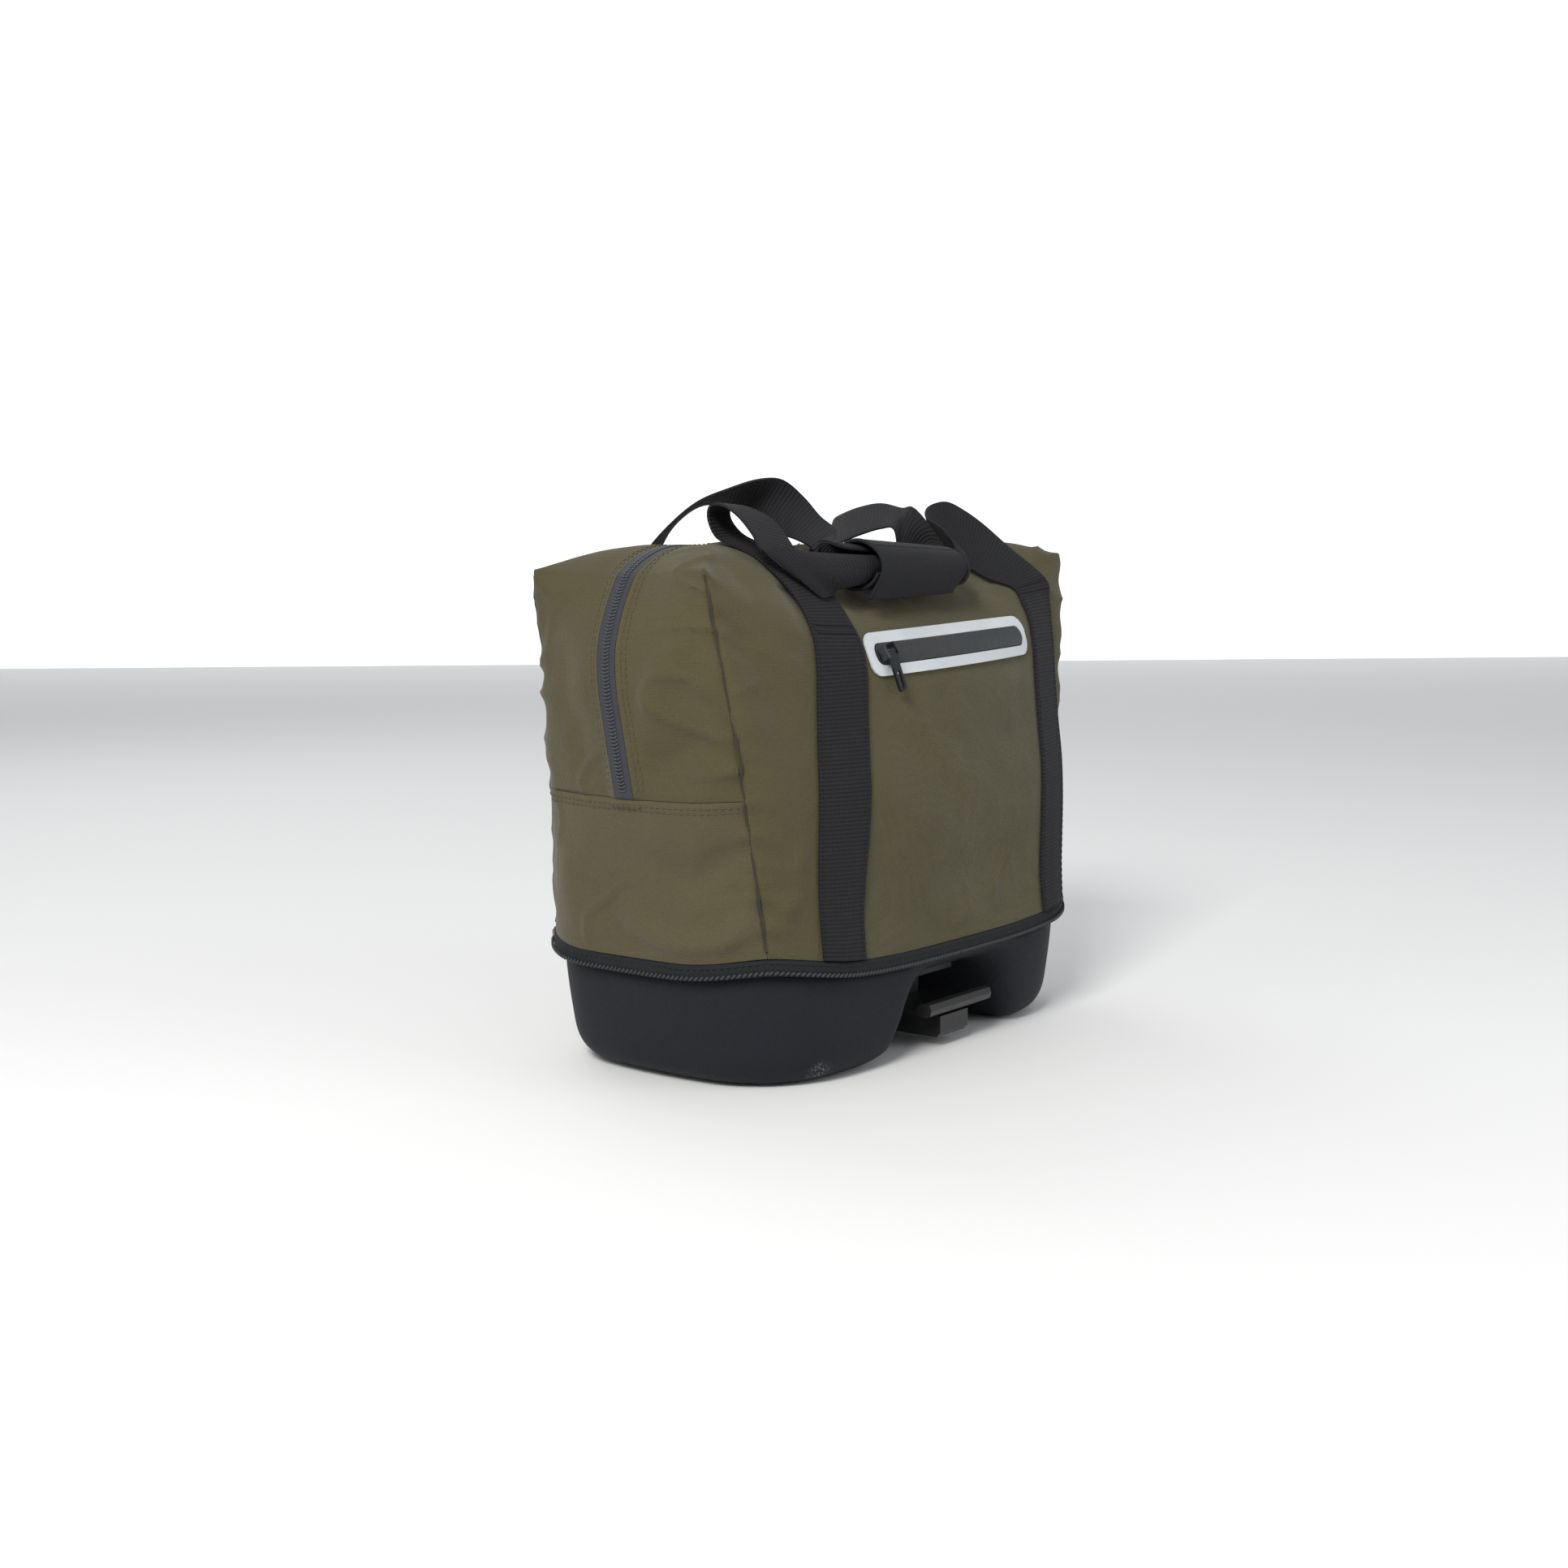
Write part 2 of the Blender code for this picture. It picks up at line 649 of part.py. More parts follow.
def ribbon_normals(rungs):
    """Vertex normals of a strip of rungs, from the slopes along and across it."""
    normals = []
    last = len(rungs) - 1
    for i, rung in enumerate(rungs):
        line = []
        before, after = rungs[max(i - 1, 0)], rungs[min(i + 1, last)]
        end = len(rung) - 1
        for k in range(end + 1):
            along = after[k] - before[k]
            across = rung[min(k + 1, end)] - rung[max(k - 1, 0)]
            line.append(along.cross(across).normalized())
        normals.append(line)
    return normals


def make_ribbon(name, rungs, thickness):
    """A closed strip with a constant thickness round the middle surface of its rungs."""
    normals = ribbon_normals(rungs)
    width = len(rungs[0])
    verts = []
    for side in (0.5, -0.5):
        for rung, line in zip(rungs, normals):
            verts += [p + n * thickness * side for p, n in zip(rung, line)]
    half = len(rungs) * width
    faces = []
    turn = []
    for i in range(len(rungs) - 1):
        for k in range(width - 1):
            a = i * width + k
            loop = [a, a + 1, a + 1 + width, a + width]
            faces.append(loop)
            faces.append([half + v for v in reversed(loop)])
    for k in range(width - 1):
        turn.append((k + 1, k))
        end = (len(rungs) - 1) * width
        turn.append((end + k, end + k + 1))
    for i in range(len(rungs) - 1):
        turn.append((i * width, (i + 1) * width))
        turn.append(((i + 2) * width - 1, (i + 1) * width - 1))
    for a, b in turn:
        faces.append([a, b, half + b, half + a])
    return new_object(name, verts, faces)


def facet_rows(b):
    """The grid rows of the front or the back face, as lists of points."""
    return [[body_point(a, b, c) for a in column_stations(c)] for c in rows()]


def strap_rungs(side, b):
    """Middle surface of a sewn strap, from the binding to the shoulder."""
    grid = facet_rows(b)
    first = COLUMNS_OUTSIDE_STRAPS
    if side > 0:
        first += 2 + 2 * COLUMNS_BETWEEN_STRAPS
    lift = WEBBING_STANDOFF + WEBBING / 2
    rungs = []
    for i in range(len(grid) - (1 if side > 0 else 2)):
        low, here, high = grid[max(i - 1, 0)], grid[i], grid[i + 1]
        outward = []
        for k in (first, first + 1, first + 2):
            normal = (here[k + 1] - here[k - 1]).cross(high[k] - low[k]).normalized()
            if normal.y * b < 0:
                normal.negate()
            if i == 0:
                normal = Vector((normal.x, normal.y, 0.0)).normalized()
            outward.append(here[k] + normal * lift)
        left, middle, right = outward
        rung = [left, left.lerp(middle, 0.5), middle, middle.lerp(right, 0.5), right]
        if i == 0:
            rung = [p + Vector((0, 0, GAP)) for p in rung]
        rungs.append(rung)
    return rungs


def run_rungs(table, bulge):
    """Middle surface of free webbing; bulge is the way in which it rolls up."""
    rungs = []
    for share_x, share_y, rise, ax, ay, az, stretch, roll in table:
        place = Vector((share_x * BAG_WIDTH, share_y * BAG_DEPTH, EAR_HEIGHT + rise * HANDLE_RISE))
        across = Vector((ax, ay, az)).normalized()
        out = (bulge - across * bulge.dot(across)).normalized()
        half = WEBBING_WIDTH / 2 * stretch
        rung = []
        for share in WEBBING_STATIONS:
            if roll:
                turn = radians(roll) / 2
                radius = half / turn
                step = across * radius * sin(share * turn)
                rise_out = radius * (cos(share * turn) - cos(turn))
                rung.append(place + step + out * rise_out)
            else:
                rung.append(place + across * half * share)
        rungs.append(rung)
    return rungs


def grip_half_height(share):
    return mix(GRIP_LEFT_HEIGHT, GRIP_RIGHT_HEIGHT, share) / 2


def grip_rungs(front):
    """Middle surface of one handle's webbing inside the grip, rolled along its wall."""
    rungs = []
    turn = radians(WEBBING_ROLL) / 2
    radius = WEBBING_WIDTH / 2 / turn
    for share in (0.03, 0.5, 0.97):
        tilt = radians(GRIP_TILT * (1 - share))
        along = Vector((0, cos(tilt), sin(tilt)))
        upright = Vector((0, -sin(tilt), cos(tilt)))
        middle = Vector((GRIP_X + GRIP_LENGTH * (share - 0.5), GRIP_Y, GRIP_Z))
        squash = min(1.0, (grip_half_height(share) - GRIP_WALL - WEBBING - 0.0025) / radius)
        reach = GRIP_DEPTH / 2 - GRIP_WALL - WEBBING / 2 - 0.0030
        bulge = -along if front else along
        rung = []
        for station in WEBBING_STATIONS:
            deep = radius * (cos(station * turn) - 1) * ROLL_DEPTH
            high = radius * sin(station * turn) * squash
            rung.append(middle + bulge * (reach + deep) + upright * high)
        rungs.append(rung)
    return rungs


def handle_rungs(front):
    """One length of webbing: sewn strap, free run, grip, free run and sewn strap."""
    b = -1 if front else 1
    tilt = radians(GRIP_TILT)
    back_up = Vector((0, cos(tilt), sin(tilt)))
    bulge = -back_up if front else back_up
    left = strap_rungs(-1, b)
    right = strap_rungs(1, b)
    if front:
        left += run_rungs(FRONT_LEFT_RUN, bulge)
        right += run_rungs(FRONT_RIGHT_RUN, bulge)
        left = [list(reversed(rung)) for rung in left]
        return left + grip_rungs(front) + list(reversed(right))
    left = [list(reversed(rung)) for rung in left] + run_rungs(BACK_LEFT_RUN, bulge)
    right += run_rungs(BACK_RIGHT_RUN, bulge)
    return left + grip_rungs(front) + list(reversed(right))


def make_grip():
    """A padded sheet rolled into a tube, its free edge left over as a flap."""
    steps = 26
    start, end = radians(200), radians(575)
    verts = []
    stations = (0.0, 0.05, 0.35, 0.65, 0.95, 1.0)
    for share in stations:
        half_z = grip_half_height(share) - GRIP_WALL / 2
        half_y = GRIP_DEPTH / 2 - GRIP_WALL / 2
        x = GRIP_X + GRIP_LENGTH * (share - 0.5)
        line = []
        for i in range(steps + 1):
            angle = mix(start, end, i / steps)
            over = GRIP_OVERLAP * ease((angle - radians(480)) / radians(75))
            y = GRIP_Y + (half_y + over) * cos(angle)
            z = GRIP_Z + (half_z + over) * sin(angle)
            line.append(Vector((x, y, z)))
        run = (line[-1] - line[-2]).normalized()
        line += [line[-1] + run * GRIP_FLAP * s for s in (0.5, 1.0)]
        last = len(line) - 1
        for side in (0.5, -0.5):
            for i, point in enumerate(line):
                slope = line[min(i + 1, last)] - line[max(i - 1, 0)]
                normal = Vector((0, slope.z, -slope.y)).normalized()
                verts.append(point + normal * GRIP_WALL * side)
    width = steps + 3
    ring = 2 * width
    loop = list(range(width)) + [width + i for i in reversed(range(width))]
    faces = []
    for s in range(len(stations) - 1):
        for i in range(ring):
            a, b = loop[i], loop[(i + 1) % ring]
            faces.append([s * ring + a, s * ring + b, (s + 1) * ring + b, (s + 1) * ring + a])
    for s in (0, len(stations) - 1):
        for i in range(width - 1):
            a = s * ring + i
            faces.append([a, a + 1, a + 1 + width, a + width])
    return new_object("handle_grip", verts, faces)


def front_point(x, height):
    """Point of the front face at an X and a height."""
    c = (height - RING_HEIGHT) / body_height()
    a = x / half_width(c)
    for _ in range(8):
        point = body_point(a, -1, c)
        a += (x - point.x) / half_width(c)
        c += (height - point.z) / body_height()
    return body_point(a, -1, c)


def front_place(x, height):
    """Point and outward normal of the front face at an X and a height."""
    reach = 0.003
    along = front_point(x + reach, height) - front_point(x - reach, height)
    upward = front_point(x, height + reach) - front_point(x, height - reach)
    return front_point(x, height), along.cross(upward).normalized()


def pocket_line(x):
    """Height of the pocket's middle line at an X."""
    return POCKET_Z + POCKET_SLANT * x


def rounded_loop(half_x, half_z, radius, straight, corner):
    """A rounded rectangle as a closed list of points, from the lower left corner."""
    points = []
    corners = ((-1, -1, 180), (1, -1, 270), (1, 1, 0), (-1, 1, 90))
    for k, (sx, sz, first) in enumerate(corners):
        centre = Vector((sx * (half_x - radius), sz * (half_z - radius), 0))
        for i in range(corner + 1):
            angle = radians(first + 90 * i / corner)
            points.append(centre + radius * Vector((cos(angle), sin(angle), 0)))
        if k % 2 == 0:
            nxt = corners[(k + 1) % 4]
            end = Vector((nxt[0] * (half_x - radius), nxt[1] * (half_z - radius), 0))
            end += radius * Vector((0, sz, 0))
            begin = points[-1]
            points += [begin.lerp(end, i / straight) for i in range(1, straight)]
    return points


def close_band(name, loops, smooth_angle=35.0):
    """A closed body from rings of points that follow each other all the way round."""
    count = len(loops[0])
    verts = [p for loop in loops for p in loop]
    faces = []
    for s in range(len(loops)):
        t = (s + 1) % len(loops)
        for i in range(count):
            j = (i + 1) % count
            faces.append([s * count + i, s * count + j, t * count + j, t * count + i])
    return new_object(name, verts, faces, smooth_angle)


def make_pocket_frame():
    outer = rounded_loop(POCKET_LENGTH / 2, POCKET_HEIGHT / 2, POCKET_CORNER, 14, 4)
    slot_x = POCKET_LENGTH / 2 - POCKET_BAND
    slot_z = POCKET_HEIGHT / 2 - POCKET_BAND
    inner = rounded_loop(slot_x, slot_z, slot_z * 0.9, 14, 4)
    loops = [[], [], [], []]
    for near, far in zip(outer, inner):
        for k, (spot, lift) in enumerate(((near, GAP), (near, GAP + POCKET_THICKNESS),
                                          (far, GAP + POCKET_THICKNESS), (far, GAP))):
            x = POCKET_X + spot.x
            point, normal = front_place(x, pocket_line(x) + spot.y)
            loops[k].append(point + normal * lift)
    return close_band("pocket_frame", loops)


def make_pocket_zip():
    half_x = POCKET_LENGTH / 2 - POCKET_BAND - GAP
    half_z = POCKET_HEIGHT / 2 - POCKET_BAND - GAP
    rungs = []
    count = 14
    ends = [half_x - half_z * share for share in (0.0, 0.12, 0.45, 1.0)]
    straight = [mix(-ends[-1], ends[-1], i / count) for i in range(1, count)]
    for spot in [-x for x in ends] + straight + list(reversed(ends)):
        x = POCKET_X + spot
        over = clamp((abs(spot) - ends[-1]) / half_z)
        reach = half_z * max(0.3, sqrt(1 - over * over)) * 0.98
        rung = []
        for share in (-1, 0, 1):
            point, normal = front_place(x, pocket_line(x) + reach * share)
            rung.append(point + normal * (GAP + POCKET_THICKNESS / 2))
        rungs.append(rung)
    return make_ribbon("pocket_zip", rungs, POCKET_THICKNESS)


def slider_frame():
    """Place of the pocket slider: origin, along the hinge, down the tab, outward."""
    point, normal = front_place(SLIDER_X, pocket_line(SLIDER_X))
    sway = radians(TAB_SWAY)
    hinge = Vector((cos(sway), 0, sin(sway)))
    hinge = (hinge - normal * hinge.dot(normal)).normalized()
    down = normal.cross(hinge)
    if down.z > 0:
        down.negate()
    return point + normal * (2 * GAP + POCKET_THICKNESS), hinge, down, normal


def extrude_profile(name, profile, origin, axes, half_length, smooth_angle=35.0):
    """A body with a constant profile in the plane of the first two axes."""
    u, v, w = axes
    front = [origin + u * p[0] + v * p[1] - w * half_length for p in profile]
    back = [origin + u * p[0] + v * p[1] + w * half_length for p in profile]
    count = len(profile)
    faces = [list(range(count)), [count + i for i in reversed(range(count))]]
    for i in range(count):
        j = (i + 1) % count
        faces.append([i, j, count + j, count + i])
    return new_object(name, front + back, faces, smooth_angle)


def make_pocket_slider():
    origin, hinge, down, normal = slider_frame()
    half = SLIDER_LENGTH / 2
    slot = TAB_WIDTH / 2 + 0.0003
    floor = 0.0025
    profile = (
        (-half, 0.0),
        (half, 0.0),
        (half, SLIDER_HEIGHT * 0.8),
        (half - 0.0005, SLIDER_HEIGHT),
        (slot, SLIDER_HEIGHT),
        (slot, floor),
        (-slot, floor),
        (-slot, SLIDER_HEIGHT),
        (0.0005 - half, SLIDER_HEIGHT),
        (-half, SLIDER_HEIGHT * 0.8),
    )
    return extrude_profile("pocket_slider", profile, origin, (hinge, normal, down), 0.004)


def tab_axle():
    origin, hinge, down, normal = slider_frame()
    return origin + normal * (SLIDER_HEIGHT - TAB_THICKNESS / 2 - 0.0003)


def make_pull_tab():
    """A flat tab with a long hole, hung between the cheeks of the slider."""
    _, hinge, _, _ = slider_frame()
    axle = tab_axle()
    side = hinge
    away = Vector((0, -1, 0))
    hang = side.cross(away).normalized()
    if hang.z > 0:
        hang.negate()
    hang = (hang + Vector((0, -1, 0)) * TAB_LEAN).normalized()
    out = side.cross(hang).normalized()
    if out.y > 0:
        out.negate()
    outer = rounded_loop(TAB_WIDTH / 2, TAB_LENGTH / 2, 0.0024, 3, 3)
    inner = rounded_loop(TAB_WIDTH * 0.22, TAB_LENGTH * 0.2, TAB_WIDTH * 0.2, 3, 3)
    loops = [[], [], [], []]
    for near, far in zip(outer, inner):
        hole = Vector((far.x, far.y - TAB_LENGTH * 0.22, 0))
        for k, (spot, lift) in enumerate(((near, 0.5), (near, -0.5), (hole, -0.5), (hole, 0.5))):
            drop = TAB_LENGTH / 2 - TAB_THICKNESS / 2 - spot.y
            loops[k].append(axle + side * spot.x + hang * drop + out * TAB_THICKNESS * lift)
    return close_band("pull_tab", loops)


def make_zip_slider():
    """Slider of the main zip, parked at the far end."""
    low = body_point(1, 0, seam_share())
    share = seam_share() + 0.07
    point = body_point(1, -ZIP_SHIFT / half_depth(share), share)
    upward = (body_point(1, 0, share + 0.05) - low).normalized()
    across = Vector((0, 1, 0))
    normal = across.cross(upward).normalized()
    if normal.x < 0:
        normal.negate()
    half = 0.0045
    profile = ((-half, 0.0), (half, 0.0), (half, 0.003), (0.002, 0.0055), (-0.002, 0.0055), (-half, 0.003))
    origin = point + normal * 2 * GAP
    return extrude_profile("main_zip_slider", profile, origin, (across, normal, upward), 0.006)


def make_box(name, low, high):
    profile = ((low[0], low[1]), (high[0], low[1]), (high[0], high[1]), (low[0], high[1]))
    middle = (low[2] + high[2]) / 2
    axes = (Vector((1, 0, 0)), Vector((0, 1, 0)), Vector((0, 0, 1)))
    return extrude_profile(name, profile, Vector((0, 0, middle)), axes, (high[2] - low[2]) / 2)


def make_adapter():
    x_axis, y_axis, z_axis = Vector((1, 0, 0)), Vector((0, 1, 0)), Vector((0, 0, 1))
    top = TUNNEL_HEIGHT - GAP
    bottom = top - PLATE_THICKNESS
    half = PLATE_WIDTH / 2
    low = (TUNNEL_SHIFT - half, -PLATE_LENGTH / 2, bottom)
    make_box("adapter_plate", low, (TUNNEL_SHIFT + half, PLATE_LENGTH / 2, top))
    front = LEVER_Y + 0.003 - BLOCK_LENGTH / 2 - 0.012
    back = LEVER_Y + 0.026
    step = LEVER_Y + LEVER_THICKNESS / 2 + 0.0003
    shelf = LEVER_Z - LEVER_THICKNESS / 2 - 0.0035
    profile = (
        (front, BLOCK_FOOT + 0.003),
        (front + 0.003, BLOCK_FOOT),
        (back, BLOCK_FOOT),
        (back, bottom - GAP),
        (step, bottom - GAP),
        (step, shelf),
        (front, shelf),
    )
    axes = (y_axis, z_axis, x_axis)
    place = Vector((TUNNEL_SHIFT, 0, 0))
    extrude_profile("adapter_block", profile, place, axes, BLOCK_WIDTH / 2)
    half = LEVER_THICKNESS / 2
    tip = -LEVER_LENGTH
    lip = (
        (0.0, -half),
        (half * 0.7, -half * 0.7),
        (half, 0.0),
        (half * 0.7, half * 0.7),
        (0.0, half),
        (tip + 0.012, half),
        (tip + 0.009, half + 0.0035),
        (tip + 0.004, half + 0.0055),
        (tip + 0.0005, half + 0.0045),
        (tip - 0.001, half + 0.001),
        (tip, -half + 0.0005),
        (tip + 0.003, -half - 0.001),
        (tip + 0.010, -half),
    )
    origin = Vector((TUNNEL_SHIFT, LEVER_Y, LEVER_Z))
    extrude_profile("release_lever", lip, origin, axes, LEVER_WIDTH / 2)


def centre_on_origin():
    """Shift every body so that the whole thing's box is centred over the origin."""
    meshes = [obj.data for obj in bpy.data.objects]
    places = [vertex.co for mesh in meshes for vertex in mesh.vertices]
    shift = Vector((0, 0, 0))
    for k in (0, 1):
        values = [place[k] for place in places]
        shift[k] = -(min(values) + max(values)) / 2
    for mesh in meshes:
        for vertex in mesh.vertices:
            vertex.co += shift


def main():
    for obj in list(bpy.data.objects):
        bpy.data.objects.remove(obj, do_unlink=True)
    body = body_skin()
    for name in ("front_panel", "back_panel", "side_panel_left", "side_panel_right", "main_zip"):
        body.solid(name, name, FABRIC)
    base_skin().solid("molded_base", "molded_base", BASE_WALL)
    make_binding()
    make_ribbon("front_handle", handle_rungs(True), WEBBING)
    make_ribbon("back_handle", handle_rungs(False), WEBBING)
    make_grip()
    make_pocket_frame()
    make_pocket_zip()
    make_pocket_slider()
    make_pull_tab()
    make_zip_slider()
    make_adapter()
    centre_on_origin()


main()
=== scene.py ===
"""Looks of the bicycle trunk bag: its cloth, webbing, zips, moulded base and the studio.

Metres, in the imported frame. The pocket face looks along -Y and the bag stands at Z = 0.
"""
from math import cos, exp, pi, radians, sin

import bpy
import bmesh
from mathutils import Matrix, Vector, noise
from mathutils.bvhtree import BVHTree


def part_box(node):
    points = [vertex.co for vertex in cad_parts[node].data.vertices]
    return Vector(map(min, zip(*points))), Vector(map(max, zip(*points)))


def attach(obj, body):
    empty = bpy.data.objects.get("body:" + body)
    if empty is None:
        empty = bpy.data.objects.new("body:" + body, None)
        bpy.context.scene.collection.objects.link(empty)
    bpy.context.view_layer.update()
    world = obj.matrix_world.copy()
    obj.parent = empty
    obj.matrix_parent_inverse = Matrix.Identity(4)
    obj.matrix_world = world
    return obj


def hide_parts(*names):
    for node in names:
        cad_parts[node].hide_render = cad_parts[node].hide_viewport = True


# Body sizes, the same as the part's
BAG_WIDTH = 0.366
BAG_DEPTH = 0.213
RING_HEIGHT = 0.077
RING_WAVE = 0.0045
SEAM_HEIGHT = 0.172
EAR_HEIGHT = 0.305
TOP_CROWN = 0.015
TOP_LEAN = 0.008
TOP_SAG = 0.004
FRONT_BULGE = 0.028
END_BULGE = 0.020
RING_BULGE_SHARE = 0.2
SHOULDER_RADIUS = 0.062
END_SHOULDER_RADIUS = 0.060
FABRIC = 0.0018
GAP = 0.0004
TUNNEL_SHIFT = 0.012
BINDING_HEIGHT = 0.010
BINDING_PROUD = 0.0015
ZIP_WIDTH = 0.014
ZIP_SHIFT = 0.008
WEBBING_WIDTH = 0.040
WEBBING = 0.0018
WEBBING_STANDOFF = 0.0005
STRAP_FOOT_SPREAD = 0.244
STRAP_TOP_SPREAD = 0.240
STRAP_TOP_SHIFT = 0.026
HANDLE_RISE = 0.052
GRIP_LENGTH = 0.090
GRIP_X = -0.013
GRIP_Y = -0.074
GRIP_Z = 0.307
GRIP_DEPTH = 0.036
GRIP_LEFT_HEIGHT = 0.032
GRIP_RIGHT_HEIGHT = 0.024
GRIP_WALL = 0.0022
GRIP_OVERLAP = 0.0032
GRIP_FLAP = 0.012
GRIP_TILT = 40.0
WEBBING_ROLL = 215.0
ROLL_DEPTH = 0.68
POCKET_LENGTH = 0.186
POCKET_X = 0.016
POCKET_HEIGHT = 0.025
POCKET_Z = 0.2555
POCKET_SLANT = 0.040
SECTIONS = (
    (0.00, 1.000, 1.000, 0.340),
    (0.42, 0.985, 0.800, 0.130),
    (1.00, 1.066, 0.650, 0.018),
)

# Free webbing from a strap's top to the mouth of the grip, as in the part. Columns: X as a
# share of the width, Y as a share of the depth, rise over the ears as a share of
# HANDLE_RISE, the direction across the webbing in X, Y and Z, and in some rows stretch
# and roll in degrees.
FRONT_LEFT_RUN = (
    (-0.268, -0.340, -0.330, 0.99, 0.08, 0.05),
    (-0.281, -0.290, -0.085, 0.98, 0.13, 0.03),
    (-0.297, -0.230, 0.130, 0.98, 0.18, 0.02),
    (-0.312, -0.172, 0.260, 0.97, 0.25, 0.03),
    (-0.327, -0.120, 0.373, 0.95, 0.29, 0.06),
    (-0.336, -0.095, 0.563, 0.93, 0.35, 0.03),
    (-0.337, -0.102, 0.711, 0.93, 0.36, 0.01),
    (-0.329, -0.148, 0.704, 0.97, 0.26, -0.02),
    (-0.322, -0.209, 0.558, 0.99, 0.12, -0.06),
    (-0.320, -0.265, 0.302, 0.98, -0.01, -0.22),
    (-0.317, -0.323, -0.051, 0.80, -0.24, -0.54, 1.17, 0),
    (-0.269, -0.330, -0.048, 0.69, -0.24, -0.69, 1.00, 50),
    (-0.220, -0.327, -0.029, 0.63, -0.04, -0.77, 1.00, 170),
)
FRONT_RIGHT_RUN = (
    (0.337, -0.294, 0.051, 0.84, 0.12, 0.53),
    (0.297, -0.249, 0.279, 0.63, 0.15, 0.76),
    (0.263, -0.222, 0.416, 0.40, 0.16, 0.90),
    (0.229, -0.212, 0.481, 0.16, 0.17, 0.97),
    (0.193, -0.214, 0.416, -0.08, 0.24, 0.97),
    (0.159, -0.263, 0.290, -0.29, 0.29, 0.91),
    (0.148, -0.319, 0.135, -0.30, 0.10, 0.95, 1.00, 60),
    (0.118, -0.361, 0.020, -0.15, -0.25, 0.95, 1.00, 205),
)
BACK_LEFT_RUN = (
    (-0.269, 0.321, -0.127, -0.96, -0.26, -0.06),
    (-0.271, 0.262, 0.216, -0.89, -0.46, -0.08),
    (-0.265, 0.192, 0.532, -0.81, -0.58, -0.06),
    (-0.249, 0.112, 0.777, -0.77, -0.64, 0.03),
    (-0.228, 0.033, 0.858, -0.71, -0.68, 0.21),
    (-0.210, -0.036, 0.857, -0.52, -0.71, 0.48),
    (-0.198, -0.091, 0.785, 0.04, -0.58, 0.81, 0.81, 0),
    (-0.186, -0.144, 0.634, 0.77, -0.01, 0.64, 0.87, 0),
    (-0.177, -0.200, 0.475, 0.90, 0.25, 0.37),
    (-0.170, -0.250, 0.325, 0.91, 0.26, 0.32),
    (-0.197, -0.296, 0.100, 0.30, -0.30, 0.90, 1.00, 215),
)
BACK_RIGHT_RUN = (
    (0.331, 0.333, -0.117, 0.94, 0.06, 0.33),
    (0.279, 0.295, 0.115, 0.86, 0.21, 0.47),
    (0.231, 0.247, 0.315, 0.77, 0.37, 0.51),
    (0.190, 0.182, 0.465, 0.70, 0.52, 0.49),
    (0.159, 0.095, 0.552, 0.68, 0.56, 0.47),
    (0.137, -0.002, 0.627, 0.69, 0.56, 0.46),
    (0.119, -0.095, 0.666, 0.74, 0.52, 0.43),
    (0.105, -0.175, 0.619, 0.83, 0.43, 0.37),
    (0.098, -0.225, 0.425, 0.55, 0.10, 0.83, 1.00, 50),
    (0.130, -0.298, 0.100, 0.20, -0.30, 0.93, 1.00, 225),
)
ROWS_BELOW_SEAM = (0.0, 0.25, 0.5, 0.75, 1.0)
ROWS_ABOVE_SEAM = (0.18, 0.36, 0.53, 0.67, 0.79, 0.90, 1.0)
WEBBING_STATIONS = (-1.0, -0.5, 0.0, 0.5, 1.0)

# Fine net of the cloth, in cells
CELLS_BELOW_SEAM = 36
CELLS_ABOVE_SEAM = 54
CELLS_ACROSS = 132
CELLS_BESIDE_ZIP = 30
CELLS_ON_ZIP = 4

# Relief of the cloth
PUCKER_DEPTH = 0.0021
PUCKER_PITCH = 0.019
PUCKER_REACH = 0.016
SEAM_GROOVE = 0.0011
DENT_DEPTH = 0.0042
WRINKLE_DEPTH = 0.0012
CREASE_DEPTH = 0.0034
GROOVE_REACH = 0.0022
END_GROOVE = 0.0009
END_GROOVE_REACH = 0.0018
CLOTH_SETTLE = 0.0002

# Where the cloth lies flat: the margin and the way over which its relief grows
CALM_MARGIN = 0.002
STRAP_CALM = 0.014
POCKET_CALM = 0.016
ZIP_CALM = 0.010
ZIP_CALM_LEAD = 0.001
RING_CALM = 0.014

